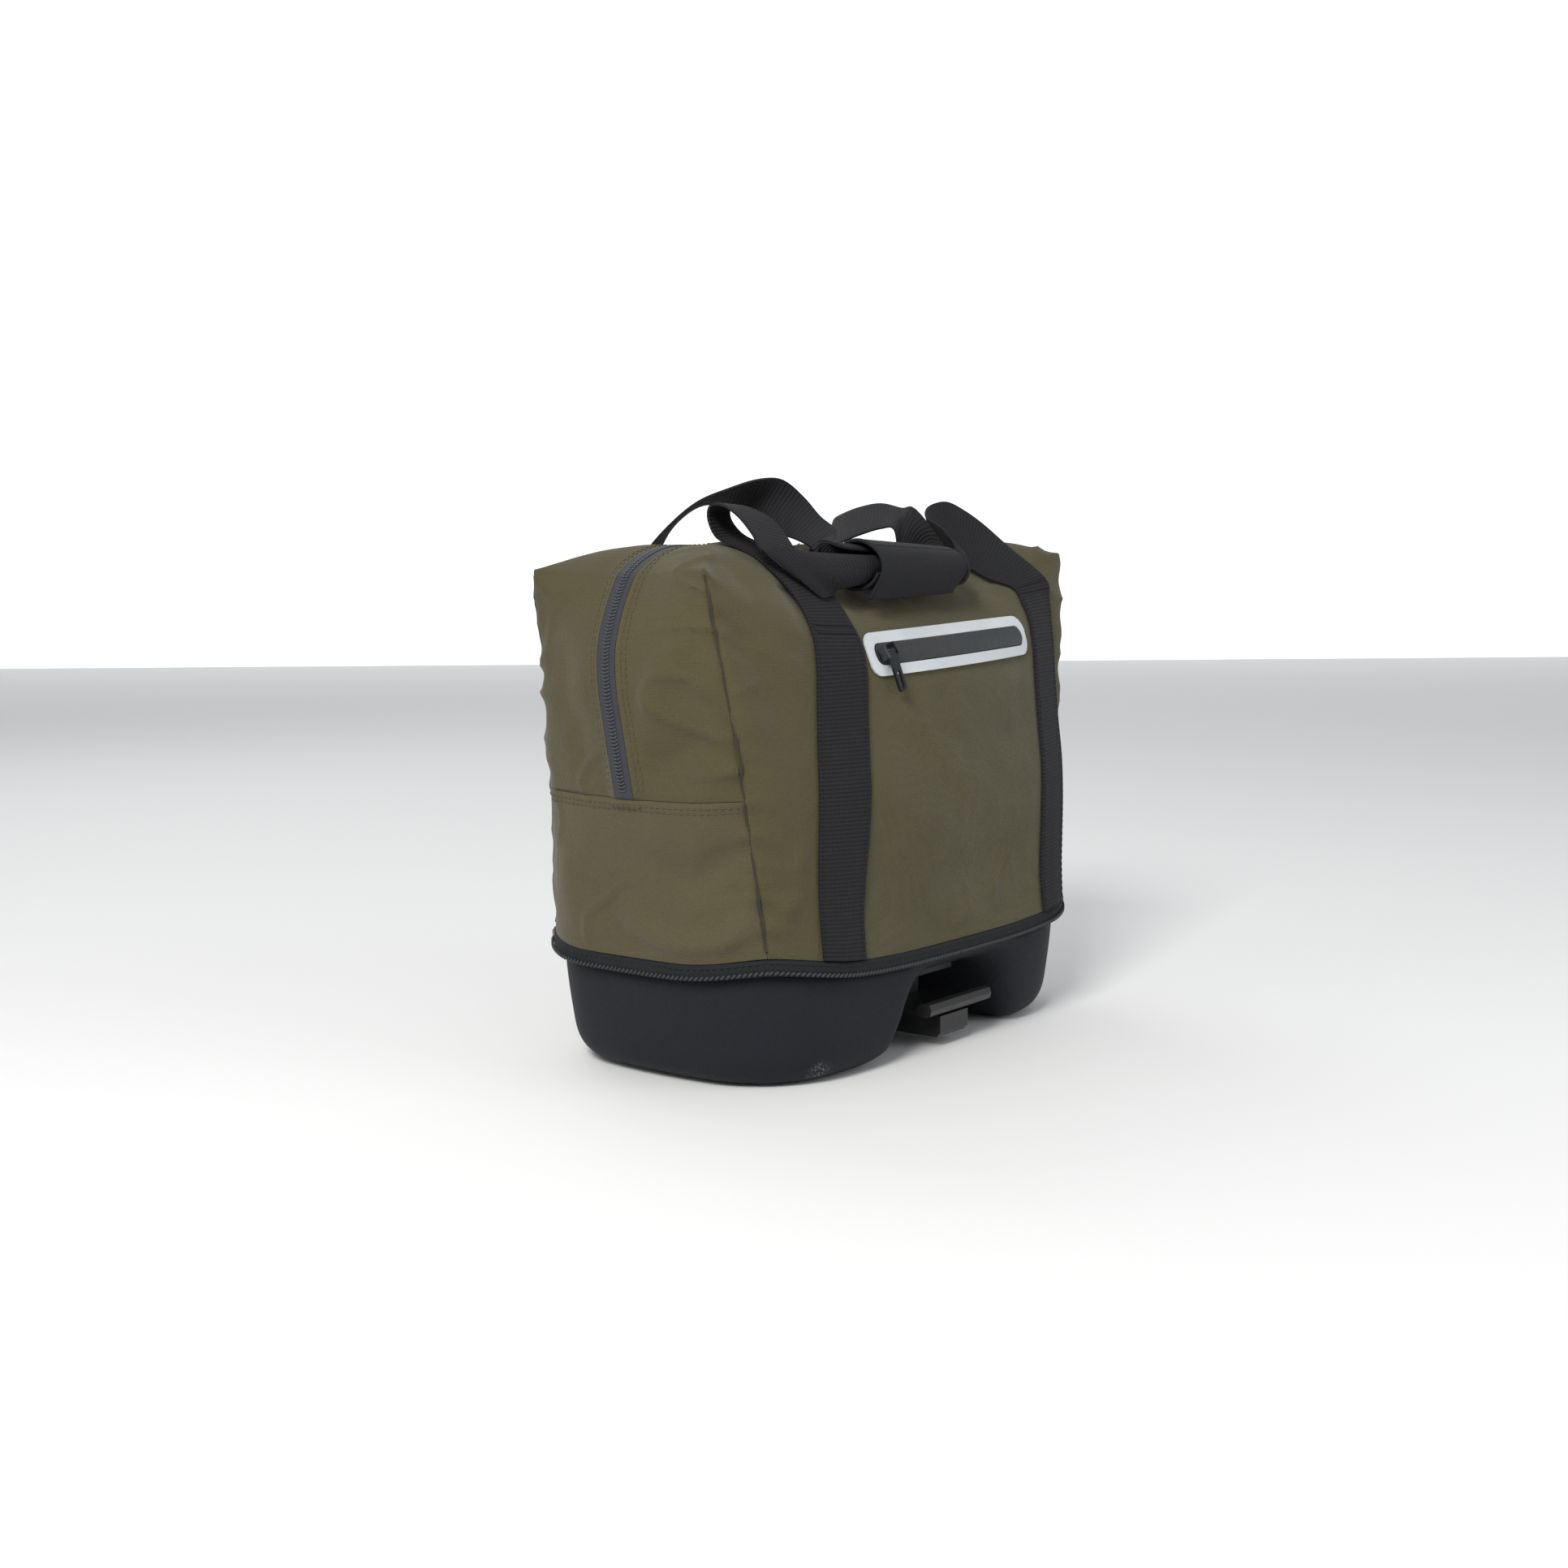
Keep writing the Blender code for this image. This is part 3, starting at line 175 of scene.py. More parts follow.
# Folds of the cloth: face, then points as shares a, b or c of that face, depth and reach
FOLDS = (
    ("left", ((-0.96, 0.13), (-0.70, 0.040), (-0.35, 0.035), (0.05, 0.10)), 0.0060, 0.0075),
    ("left", ((-0.95, 0.30), (-0.60, 0.22), (-0.25, 0.24)), -0.0045, 0.011),
    ("left", ((-0.90, 0.62), (-0.55, 0.52), (-0.30, 0.50)), -0.0045, 0.011),
    ("left", ((-0.85, 0.86), (-0.50, 0.72), (-0.35, 0.60)), 0.0038, 0.009),
    ("left", ((0.90, 0.90), (0.55, 0.70), (0.30, 0.55)), -0.0030, 0.016),
    ("front", ((-0.97, 0.90), (-0.86, 0.76), (-0.80, 0.58)), -0.0042, 0.010),
    ("front", ((-0.95, 0.10), (-0.84, 0.16), (-0.80, 0.30)), 0.0036, 0.008),
    ("front", ((-0.36, 0.90), (-0.10, 0.93), (0.30, 0.91)), -0.0022, 0.012),
    ("front", ((-0.30, 0.10), (0.05, 0.06), (0.42, 0.12)), 0.0026, 0.016),
    ("front", ((-0.34, 0.55), (-0.15, 0.40), (0.02, 0.36)), -0.0018, 0.018),
    ("right", ((-0.90, 0.85), (-0.50, 0.70), (-0.30, 0.52)), -0.0030, 0.014),
    ("right", ((0.90, 0.86), (0.50, 0.66), (0.30, 0.50)), 0.0026, 0.014),
    ("back", ((-0.90, 0.88), (-0.82, 0.70), (-0.80, 0.50)), -0.0028, 0.012),
    ("back", ((-0.30, 0.12), (0.10, 0.08), (0.40, 0.16)), 0.0026, 0.016),
    ("back", ((-0.30, 0.80), (0.05, 0.74), (0.36, 0.80)), -0.0026, 0.018),
)

# Camera fitted to the photograph
EYE = (-1.026, -0.780, 0.301)
YAW = 51.73
PITCH = 6.08
ROLL = 0.44
LENS = 44.98
FRAME_PIXELS = 1932
SCUFF_PIXEL = (1010, 1322)

# Stitches, coil and cords
STITCH_PITCH = 0.0042
STITCH_LENGTH = 0.0030
STITCH_RADIUS = 0.00035
ZIP_STITCH_OFFSETS = (-0.0105, 0.0105, -0.0135, 0.0135)
END_STITCH_DROPS = (0.0035, 0.0065)
BAR_PITCH = 0.0016
BAR_RADIUS = 0.0005
COIL_PITCH = 0.0021
COIL_REACH = 0.0014
COIL_LENGTH = 0.0034
COIL_RADIUS = 0.00055
COIL_RISE = 0.0004
LIP_RADIUS = 0.0009
ROPE_PITCH = 0.0032
ROPE_LENGTH = 0.0042
ROPE_RADIUS = 0.0009
ROPE_TURN = 35
BINDING_STITCH_INSET = 0.0022

# Webbing: steps between rungs, rungs sewn down at each end, thickness of the selvedge
ALONG_STEPS = 5
ACROSS_STEPS = 3
LEFT_SEWN_RUNGS = 9
RIGHT_SEWN_RUNGS = 10
SELVEDGE_SHARE = 0.72

# Pitches of the ribs and the knit, and the reach of the scuff
RIB_PITCH = 0.0024
GRID_PITCH = 0.0012
KNIT_PITCH = 0.0013
SCUFF_REACH = 0.010

# Woven cloths: material, linear colour, roughness, pitch of the weave
WEAVES = {
    "cloth": ("olive_cloth", (0.064, 0.055, 0.026), 0.88, 0.0011),
    # The end cloth is the olive cloth made lighter: painted light, standing for the lamp falling on the end
    # panels
    "end_cloth_painted_light": ("olive_cloth_painted_light", (0.071, 0.060, 0.031), 0.88, 0.0011),
    "dark_cloth": ("seam_cloth", (0.035, 0.031, 0.021), 0.9, 0.0011),
    "zip_tape": ("zip_tape", (0.030, 0.032, 0.040), 0.7, 0.0010),
}

# Webbings: material, linear colour, with ribs or without
WEBBINGS = {
    "webbing": ("black_webbing", (0.013, 0.013, 0.015), True),
    "webbing_plain": ("black_binding", (0.012, 0.013, 0.015), False),
    "padding": ("grip_padding", (0.012, 0.012, 0.015), False),
}

# Threads: material, linear colour, roughness
THREADS = {
    "thread": ("olive_thread", (0.085, 0.074, 0.042), 0.7),
    "dark_thread": ("black_thread", (0.018, 0.018, 0.021), 0.7),
    "coil": ("zip_coil", (0.045, 0.049, 0.060), 0.5),
    "rope": ("binding_rope", (0.020, 0.021, 0.025), 0.6),
}

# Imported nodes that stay: material, linear colour, roughness, metal, grain, its depth
NODE_LOOKS = {
    "pocket_frame": ("reflective_film", (0.52, 0.55, 0.57), 0.34, 0.0, 900.0, 0.1),
    "pocket_slider": ("slider_metal", (0.060, 0.060, 0.066), 0.32, 0.85),
    "pull_tab": ("tab_metal", (0.050, 0.050, 0.055), 0.26, 0.85),
    "main_zip_slider": ("zip_slider_metal", (0.060, 0.060, 0.066), 0.34, 0.85),
    "adapter_plate": ("adapter_plastic", (0.014, 0.014, 0.015), 0.45),
    "adapter_block": ("block_plastic", (0.013, 0.013, 0.014), 0.42),
    "release_lever": ("lever_plastic", (0.016, 0.016, 0.017), 0.36),
}
POCKET_COIL_COLOUR = (0.014, 0.015, 0.019)
BASE_COLOUR = (0.010, 0.011, 0.015)
SCUFF_COLOUR = (0.42, 0.42, 0.43)
FLOOR_COLOUR = (0.80, 0.80, 0.80)
BACKDROP_COLOUR = (0.92, 0.94, 0.96)
SKY_COLOUR = (0.93, 0.95, 0.97)

# Area lights: name, place, size, power, colour
LIGHTS = (
    ("key", (-2.0, -0.75, 1.75), 0.8, 62, (1.0, 0.99, 0.96)),
    ("fill", (0.7, -2.2, 1.0), 1.6, 14, (0.95, 0.97, 1.0)),
    ("side", (-2.2, 0.9, 1.2), 1.4, 5, (1, 1, 1)),
    ("back", (0.6, 1.8, 1.9), 1.4, 10, (1, 1, 1)),
)
SKY_STRENGTH = 0.42
FLOOR_REACH = 6.0
BACKDROP_DISTANCE = 5.5
BACKDROP_HEIGHT = 5.0
BACKDROP_STRENGTH = 0.75


def clamp(value, low=0.0, high=1.0):
    return max(low, min(high, value))


def ease(value):
    t = clamp(value)
    return t * t * (3 - 2 * t)


def mix(low, high, share):
    return low + (high - low) * share


def section(share, column):
    """One column of SECTIONS at a share of the height, on a parabola through its rows."""
    total = 0.0
    for i, row in enumerate(SECTIONS):
        weight = 1.0
        for j, other in enumerate(SECTIONS):
            if i != j:
                weight *= (share - other[0]) / (row[0] - other[0])
        total += weight * row[column]
    return total


def edge_angle(distance, radius):
    """How far round a rounded edge a point lies: a half of a right angle at the edge."""
    if distance >= radius:
        return 0.0
    return pi / 4 * (1 - distance / radius)


def rolled(distance, radius):
    """How deep and how far in a point lies on a rounded edge."""
    angle = edge_angle(distance, radius)
    if angle == 0.0:
        return distance, 0.0
    return radius * (1 - sin(angle)), radius * (1 - cos(angle))


def rounded_outline(a, b, half_x, half_y, radius):
    """Point and outward normal of a rounded rectangle, for a or b at -1 or 1."""
    sign_x = 1 if a >= 0 else -1
    sign_y = 1 if b >= 0 else -1
    along_x = abs(b) >= abs(a)
    distance = (1 - abs(a)) * half_x if along_x else (1 - abs(b)) * half_y
    angle = edge_angle(distance, radius)
    far, near = rolled(distance, radius)
    normal = (sign_x * sin(angle), sign_y * cos(angle))
    if not along_x:
        normal = (sign_x * cos(angle), sign_y * sin(angle))
    inset_x, inset_y = (far, near) if along_x else (near, far)
    return (sign_x * (half_x - inset_x), sign_y * (half_y - inset_y)), normal


def ring_wave(a, b):
    return RING_WAVE * (2 * ease(a * a) * ease(b * b) - ease(b * b))


def body_height():
    return EAR_HEIGHT - RING_HEIGHT


def seam_share():
    return (SEAM_HEIGHT - RING_HEIGHT) / body_height()


def half_width(c):
    return BAG_WIDTH / 2 * section(c, 1)


def half_depth(c):
    return BAG_DEPTH / 2 * section(c, 2)


def body_point(a, b, c):
    """Outer point of the smooth body: a along X, b along Y, c up from the binding."""
    half_x = half_width(c)
    half_y = half_depth(c)
    radius = BAG_DEPTH * section(c, 3)
    front_edge = SHOULDER_RADIUS * (1 - abs(a) ** 3)
    end_edge = END_SHOULDER_RADIUS * (1 - b * b)
    sign_x = 1 if a >= 0 else -1
    sign_y = 1 if b >= 0 else -1
    below = (1 - c) * body_height()
    if max(abs(a), abs(b)) > 1 - 1e-9:
        (x, y), _ = rounded_outline(a, b, half_x, half_y, radius)
        on_front = abs(b) > 1 - 1e-9
        depth, inset = rolled(below, front_edge if on_front else end_edge)
        drop = depth - below
        if on_front:
            y -= sign_y * inset
        else:
            x -= sign_x * inset
    else:
        inset_y, drop_y = rolled((1 - abs(b)) * half_y, front_edge)
        inset_x, drop_x = rolled((1 - abs(a)) * half_x, end_edge)
        drop = drop_y + drop_x
        x = sign_x * (half_x - inset_x)
        y = sign_y * (half_y - inset_y)
    z = RING_HEIGHT + c * body_height() - drop
    on_top = ease((c - 0.55) / 0.45)
    z += on_top * (1 - abs(b) ** 3) * (TOP_CROWN - TOP_SAG * (1 - a * a))
    z += TOP_LEAN * (a + 1) / 2 * ease(c) + ring_wave(a, b) * (1 - c) ** 2
    front_share = mix(RING_BULGE_SHARE, 1.0, ease(c / 0.45)) * mix(1.0, 0.45, ease((c - 0.7) / 0.3))
    y += sign_y * FRONT_BULGE * abs(b) ** 4 * (1 - a * a) * front_share
    end_share = mix(RING_BULGE_SHARE, 1.0, ease(c / 0.55)) * mix(1.0, 0.3, ease((c - 0.65) / 0.35))
    x += sign_x * END_BULGE * abs(a) ** 4 * (1 - b * b) * end_share
    return Vector((x, y, z))


def strap_centre(side, c):
    spread = mix(STRAP_FOOT_SPREAD, STRAP_TOP_SPREAD, c) / 2
    return side * spread + STRAP_TOP_SHIFT * c


def zip_middle(c):
    """Share b of the zip's middle line at a height."""
    return -ZIP_SHIFT / half_depth(c) * (1 - ease((c - seam_share()) / 0.4))


def zip_slot(c):
    return ZIP_WIDTH / 2 / half_depth(c)


def line_distance(u, v, points, scale_u, scale_v):
    """Distance from a place to a broken line, and how far along the line it is."""
    best, where = 1.0, 0.0
    for i in range(len(points) - 1):
        ax, ay = points[i][0] * scale_u, points[i][1] * scale_v
        bx, by = points[i + 1][0] * scale_u, points[i + 1][1] * scale_v
        dx, dy = bx - ax, by - ay
        t = clamp(((u - ax) * dx + (v - ay) * dy) / (dx * dx + dy * dy))
        gap = ((u - ax - t * dx) ** 2 + (v - ay - t * dy) ** 2) ** 0.5
        if gap < best:
            best, where = gap, (i + t) / (len(points) - 1)
    return best, where


def relief(face, a, b, c):
    """How far the cloth stands off the smooth body: folds, puckers, dents, flat places."""
    point = body_point(a, b, c)
    wide, deep = half_width(c), half_depth(c)
    on_side = face in ("front", "back")
    reach_a = (1 - abs(a)) * wide
    reach_b = (1 - abs(b)) * deep
    if on_side:
        seam = reach_a
    elif face in ("left", "right"):
        seam = reach_b
    else:
        seam = (reach_a ** 2 + reach_b ** 2) ** 0.5
    height = c * body_height()
    corner = 2 * (a > 0) + (b > 0)
    wave = noise.noise(Vector((height / PUCKER_PITCH, 7.3 * corner, seam * 18)))
    puckers = PUCKER_DEPTH * (1 - 3.4 * abs(wave)) * exp(-seam / PUCKER_REACH) * ease(c / 0.06)
    groove = -SEAM_GROOVE * exp(-(seam / GROOVE_REACH) ** 2)
    dents = DENT_DEPTH * noise.noise(point * 13 + Vector((3.1, 0.7, 5.2)))
    dents += WRINKLE_DEPTH * noise.noise(point * 48)
    slant = Vector((point.x * 14 + point.z * 11, point.y * 17, point.z * 24 - abs(point.x) * 9))
    patch = ease(0.5 + 2.2 * noise.noise(point * 11 + Vector((9.1, 4.4, 2.0))))
    share = 0.45 if on_side else 1.0
    dents += CREASE_DEPTH * share * patch * max(0.0, 1 - 7 * abs(noise.noise(slant))) ** 2
    folds = 0.0
    along, scale_u = (a, wide) if on_side else (b, deep)
    for name, points, depth, width in FOLDS:
        if name == face:
            gap, where = line_distance(along * scale_u, height, points, scale_u, body_height())
            folds += depth * exp(-(gap / width) ** 2) * (1 - (2 * where - 1) ** 4 * 0.7)
    calm = 1.0
    if on_side:
        for side in (-1, 1):
            aside = abs(point.x - strap_centre(side, c)) - WEBBING_WIDTH / 2
            calm *= ease((aside - CALM_MARGIN) / STRAP_CALM)
    if face == "front":
        off_x = abs(point.x - POCKET_X) - POCKET_LENGTH / 2
        off_z = abs(point.z - POCKET_Z - POCKET_SLANT * point.x) - POCKET_HEIGHT / 2
        calm *= ease((max(off_x, off_z) - CALM_MARGIN) / POCKET_CALM)
    ring = 1.0 if face == "top" else ease(height / RING_CALM)
    if face in ("left", "right", "top"):
        aside = abs(b * deep - zip_middle(c) * deep) - ZIP_WIDTH / 2
        if c >= seam_share() - 0.02:
            calm *= ease((aside + ZIP_CALM_LEAD) / ZIP_CALM)
        seam_gap = abs(height - (SEAM_HEIGHT - RING_HEIGHT))
        groove -= END_GROOVE * exp(-(seam_gap / END_GROOVE_REACH) ** 2) * (face != "top")
    return (puckers + dents + folds) * calm * ring + groove * ring - CLOTH_SETTLE


def fine_rows():
    seam = seam_share()
    low = [seam * i / CELLS_BELOW_SEAM for i in range(CELLS_BELOW_SEAM)]
    return low + [mix(seam, 1.0, i / CELLS_ABOVE_SEAM) for i in range(CELLS_ABOVE_SEAM + 1)]


def fine_depths(c):
    middle, slot = zip_middle(c), zip_slot(c)
    front = [mix(-1.0, middle - slot, i / CELLS_BESIDE_ZIP) for i in range(CELLS_BESIDE_ZIP)]
    inner = [mix(middle - slot, middle + slot, i / CELLS_ON_ZIP) for i in range(CELLS_ON_ZIP)]
    back = [mix(middle + slot, 1.0, i / CELLS_BESIDE_ZIP) for i in range(CELLS_BESIDE_ZIP + 1)]
    return front + inner + back


class Cloth:
    """The net of the whole body, whose faces carry the name of their panel."""

    def __init__(self):
        self.points = []
        self.lift = []
        self.keys = {}
        self.faces = []
        self.level = set()

    def vertex(self, face, a, b, c):
        point = body_point(a, b, c)
        key = tuple(round(v * 1e6) for v in point)
        if key not in self.keys:
            self.keys[key] = len(self.points)
            self.points.append(point)
            self.lift.append(relief(face, a, b, c))
        return self.keys[key]

    def grid(self, face, panel, shares, flip=False):
        ids = [[self.vertex(face, *place) for place in row] for row in shares]
        if face != "top":
            self.level.update(ids[0])
        for i in range(len(ids) - 1):
            for j in range(len(ids[0]) - 1):
                loop = [ids[i][j], ids[i][j + 1], ids[i + 1][j + 1], ids[i + 1][j]]
                if flip:
                    loop.reverse()
                self.faces.append((panel(i, j), loop))

    def settle(self):
        """Lift every point along its normal, and keep the normals for the wall."""
        total = [Vector() for _ in self.points]
        for _, loop in self.faces:
            corners = [self.points[i] for i in loop]
            area = (corners[2] - corners[0]).cross(corners[3] - corners[1])
            for i in loop:
                total[i] += area
        self.normals = [n.normalized() for n in total]
        for i in self.level:
            flat = self.normals[i]
            self.normals[i] = Vector((flat.x, flat.y, 0.0)).normalized()
        self.points = [p + n * s for p, n, s in zip(self.points, self.normals, self.lift)]

    def solid(self, panel, wall):
        """One panel as a closed wall, drawn in by half a gap at its borders."""
        loops = [loop for tag, loop in self.faces if tag == panel]
        edges = {(i, j) for loop in loops for i, j in zip(loop, loop[1:] + loop[:1])}
        border = [(i, j) for i, j in edges if (j, i) not in edges]
        pull = {}
        rim = {i for edge in border for i in edge}
        for loop in loops:
            middle = sum((self.points[i] for i in loop), Vector()) / 4
            for i in loop:
                if i in rim:
                    pull.setdefault(i, []).append(middle)
        place, verts = {}, []
        for i in sorted({i for loop in loops for i in loop}):
            point = self.points[i].copy()
            if i in pull:
                way = sum(pull[i], Vector()) / len(pull[i]) - point
                point += way.normalized() * GAP / 2
            place[i] = len(verts)
            verts += [point, point - self.normals[i] * wall]
        faces = []
        for loop in loops:
            faces.append([place[i] for i in loop])
            faces.append([place[i] + 1 for i in reversed(loop)])
        for i, j in border:
            faces.append([place[j], place[i], place[i] + 1, place[j] + 1])
        return verts, faces


def new_object(name, data):
    obj = bpy.data.objects.new(name, data)
    bpy.context.scene.collection.objects.link(obj)
    return obj


def new_piece(name, verts, faces, body="bag", smooth_angle=40.0, uvs=None):
    """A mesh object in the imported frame, riding on a body."""
    mesh = bpy.data.meshes.new(name)
    mesh.from_pydata([tuple(v + SHIFT) for v in verts], [], faces)
    if uvs:
        layer = mesh.uv_layers.new(name="run")
        for loop in mesh.loops:
            layer.data[loop.index].uv = uvs[loop.vertex_index]
    mesh.validate()
    work = bmesh.new()
    work.from_mesh(mesh)
    bmesh.ops.recalc_face_normals(work, faces=work.faces[:])
    work.to_mesh(mesh)
    work.free()
    mesh.shade_smooth()
    mesh.set_sharp_from_angle(angle=radians(smooth_angle))
    obj = new_object(name, mesh)
    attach(obj, body)
    return obj


class Lump:
    """Many small forms in one mesh."""

    def __init__(self):
        self.verts = []
        self.faces = []

    def add(self, verts, faces):
        base = len(self.verts)
        self.verts += verts
        self.faces += [[base + i for i in face] for face in faces]

    def capsule(self, middle, along, normal, length, radius):
        """A short thread with pointed ends."""
        side = along.cross(normal).normalized()
        verts = [middle - along * length / 2]
        for reach in (-0.3, 0.3):
            for turn in range(6):
                angle = turn * pi / 3
                spot = middle + along * length * reach
                spot += side * radius * cos(angle) + normal * radius * sin(angle)
                verts.append(spot)
        verts.append(middle + along * length / 2)
        faces = []
        for k in range(6):
            m = (k + 1) % 6
            faces.append([0, 1 + m, 1 + k])
            faces.append([1 + k, 1 + m, 7 + m, 7 + k])
            faces.append([13, 7 + k, 7 + m])
        self.add(verts, faces)

    def tube(self, places, radius, sides=8):
        """A round line along points with their normals."""
        verts, last = [], len(places) - 1
        for i, (point, normal) in enumerate(places):
            along = (places[min(i + 1, last)][0] - places[max(i - 1, 0)][0]).normalized()
            side = along.cross(normal).normalized()
            up = side.cross(along)
            for k in range(sides):
                angle = 2 * pi * k / sides
                verts.append(point + side * radius * cos(angle) + up * radius * sin(angle))
        faces = [list(range(sides))[::-1], [last * sides + k for k in range(sides)]]
        for i in range(last):
            for k in range(sides):
                m = (k + 1) % sides
                faces.append([i * sides + k, i * sides + m, (i + 1) * sides + m, (i + 1) * sides + k])
        self.add(verts, faces)

    def stitches(self, places, pitch=STITCH_PITCH, length=STITCH_LENGTH, radius=STITCH_RADIUS, turn=0.0):
        """A row of threads along points with their normals, turned from the line."""
        for point, along, normal in walk(places, pitch):
            way = Matrix.Rotation(radians(turn), 3, normal) @ along
            self.capsule(point + normal * radius * 0.6, way, normal, length, radius)


def walk(places, pitch):
    """Points at an even pitch along a line of points with their normals."""
    steps, carried = [], pitch / 2
    for (here, normal), (there, _) in zip(places, places[1:]):
        run = there - here
        span = run.length
        if span < 1e-9:
            continue
        while carried < span:
            steps.append((here + run * carried / span, run / span, normal))
            carried += pitch
        carried -= span
    return steps


def place(face, a, b, c):
    """Point and outward normal of the dressed cloth."""
    step = 0.006
    if face == "top":
        u = body_point(a + step, b, c) - body_point(a - step, b, c)
        v = body_point(a, b + step, c) - body_point(a, b - step, c)
    elif face in ("front", "back"):
        u = body_point(min(a + step, 1), b, c) - body_point(max(a - step, -1), b, c)
    else:
        u = body_point(a, min(b + step, 1), c) - body_point(a, max(b - step, -1), c)
    if face != "top":
        v = body_point(a, b, min(c + step, 1)) - body_point(a, b, max(c - step, 0))
    point = body_point(a, b, c)
    normal = u.cross(v).normalized()
    if normal.dot(point - Vector((0, 0, 0.18))) < 0:
        normal.negate()
    return point + normal * relief(face, a, b, c), normal


def make_cloth():
    cloth = Cloth()
    levels = fine_rows()
    first, last = CELLS_BESIDE_ZIP, CELLS_BESIDE_ZIP + CELLS_ON_ZIP
    across = [mix(-1.0, 1.0, i / CELLS_ACROSS) for i in range(CELLS_ACROSS + 1)]

    def by_depth(j):
        if j < first:
            return "front_panel"
        return "main_zip" if j < last else "back_panel"

    def end_panel(side):
        return lambda i, j: "side_panel_" + side if i < CELLS_BELOW_SEAM else by_depth(j)

    cloth.grid("front", lambda i, j: "front_panel", [[(a, -1, c) for a in across] for c in levels])
    cloth.grid("back", lambda i, j: "back_panel", [[(a, 1, c) for a in across] for c in levels], True)
    cloth.grid("left", end_panel("left"), [[(-1, b, c) for b in fine_depths(c)] for c in levels], True)
    cloth.grid("right", end_panel("right"), [[(1, b, c) for b in fine_depths(c)] for c in levels])
    cloth.grid("top", lambda i, j: by_depth(j), [[(a, b, 1) for b in fine_depths(1)] for a in across], True)
    cloth.settle()
    looks = {
        "front_panel": "cloth",
        "back_panel": "cloth",
        # Both end panels take the lighter cloth, a painted-light copy of the olive cloth
        "side_panel_left": "end_cloth_painted_light",
        "side_panel_right": "end_cloth_painted_light",
        "main_zip": "zip_tape",
    }
    for name, look in looks.items():
        verts, faces = cloth.solid(name, FABRIC)
        piece = new_piece(name + "_cloth", verts, faces, smooth_angle=75)
        dress(piece, look, name)


def dress(piece, look, node):
    piece.data.materials.clear()
    piece.data.materials.append(MATERIALS[look])
    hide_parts(node)


def add_on(name, lump, look):
    piece = new_piece(name, lump.verts, lump.faces, smooth_angle=60)
    piece.data.materials.append(MATERIALS[look])


def zip_path(offset=0.0, count=60):
    """Places along the main zip, moved aside across it by an offset in metres."""
    foot = seam_share() + 0.02
    rise = [mix(foot, 1.0, i / count) for i in range(count)]
    stations = [("left", -1, c) for c in rise]
    stations += [("top", mix(-0.995, 0.995, i / (2 * count)), 1) for i in range(2 * count + 1)]
    stations += [("right", 1, c) for c in reversed(rise)]
    return [place(face, a, zip_middle(c) + offset / half_depth(c), c) for face, a, c in stations]


def make_zip_details():
    coil = Lump()
    path = [(point + normal * COIL_RISE, normal) for point, normal in zip_path()]
    for point, along, normal in walk(path, COIL_PITCH):
        side = along.cross(normal)
        for way in (-1, 1):
            tilt = (side * way + along * 0.35).normalized()
            coil.capsule(point + side * way * COIL_REACH, tilt, normal, COIL_LENGTH, COIL_RADIUS)
    add_on("main_zip_coil", coil, "coil")
    thread = Lump()
    for offset in ZIP_STITCH_OFFSETS:
        thread.stitches(zip_path(offset))
    add_on("zip_topstitch", thread, "thread")


def make_seams():
    """Corner seams with their raised lips, and the topstitched seams across the ends."""
    lips, thread = Lump(), Lump()
    c = seam_share()
    for face, a in (("left", -1), ("right", 1)):
        for b in (-1, 1):
            line = [place(face, a, b, mix(0.02, 0.985, i / 90)) for i in range(91)]
            line = [(p + Vector((a, b, 0)).normalized() * 0.0002, n) for p, n in line]
            lips.tube(line, LIP_RADIUS, 6)
        for drop in END_STITCH_DROPS:
            line = [place(face, a, mix(-0.97, 0.97, i / 60), c - drop / body_height()) for i in range(61)]
            thread.stitches(line)
    add_on("corner_seams", lips, "dark_cloth")
    add_on("end_topstitch", thread, "thread")


def column_stations(side, c):
    """Shares a of a strap's two edges and its middle at a height."""
    centre = strap_centre(side, c)
    return [(centre + WEBBING_WIDTH / 2 * k) / half_width(c) for k in (-1, 0, 1)]


def strap_rungs(side, b):
    """Middle surface of a sewn strap, from the binding to the shoulder."""
    seam = seam_share()
    levels = [seam * s for s in ROWS_BELOW_SEAM] + [mix(seam, 1.0, s) for s in ROWS_ABOVE_SEAM]
    count = len(levels) - (1 if side > 0 else 2)
    lift = WEBBING_STANDOFF + WEBBING / 2
    rungs = []
    step = 0.02
    for i, c in enumerate(levels[:count]):
        rung = []
        for a in column_stations(side, c):
            along = body_point(a + step, b, c) - body_point(a - step, b, c)
            up = body_point(a, b, min(c + step, 1)) - body_point(a, b, max(c - step, 0))
            normal = along.cross(up).normalized()
            if normal.y * b < 0:
                normal.negate()
            if i == 0:
                normal = Vector((normal.x, normal.y, 0.0)).normalized()
            rung.append(body_point(a, b, c) + normal * lift)
        left, middle, right = rung
        rung = [left, left.lerp(middle, 0.5), middle, middle.lerp(right, 0.5), right]
        if i == 0:
            rung = [p + Vector((0, 0, GAP)) for p in rung]
        rungs.append(rung)
    return rungs


def run_rungs(table, bulge):
    """Middle surface of free webbing; bulge is the way in which it rolls up."""
    rungs = []
    for share_x, share_y, rise, ax, ay, az, *rest in table:
        stretch, roll = rest or (1.0, 0)
        spot = Vector((share_x * BAG_WIDTH, share_y * BAG_DEPTH, EAR_HEIGHT + rise * HANDLE_RISE))
        across = Vector((ax, ay, az)).normalized()
        out = (bulge - across * bulge.dot(across)).normalized()
        half = WEBBING_WIDTH / 2 * stretch
        rung = []
        for share in WEBBING_STATIONS:
            if roll:
                turn = radians(roll) / 2
                radius = half / turn
                step = across * radius * sin(share * turn)
                rung.append(spot + step + out * radius * (cos(share * turn) - cos(turn)))
            else:
                rung.append(spot + across * half * share)
        rungs.append(rung)
    return rungs


def grip_half_height(share):
    return mix(GRIP_LEFT_HEIGHT, GRIP_RIGHT_HEIGHT, share) / 2


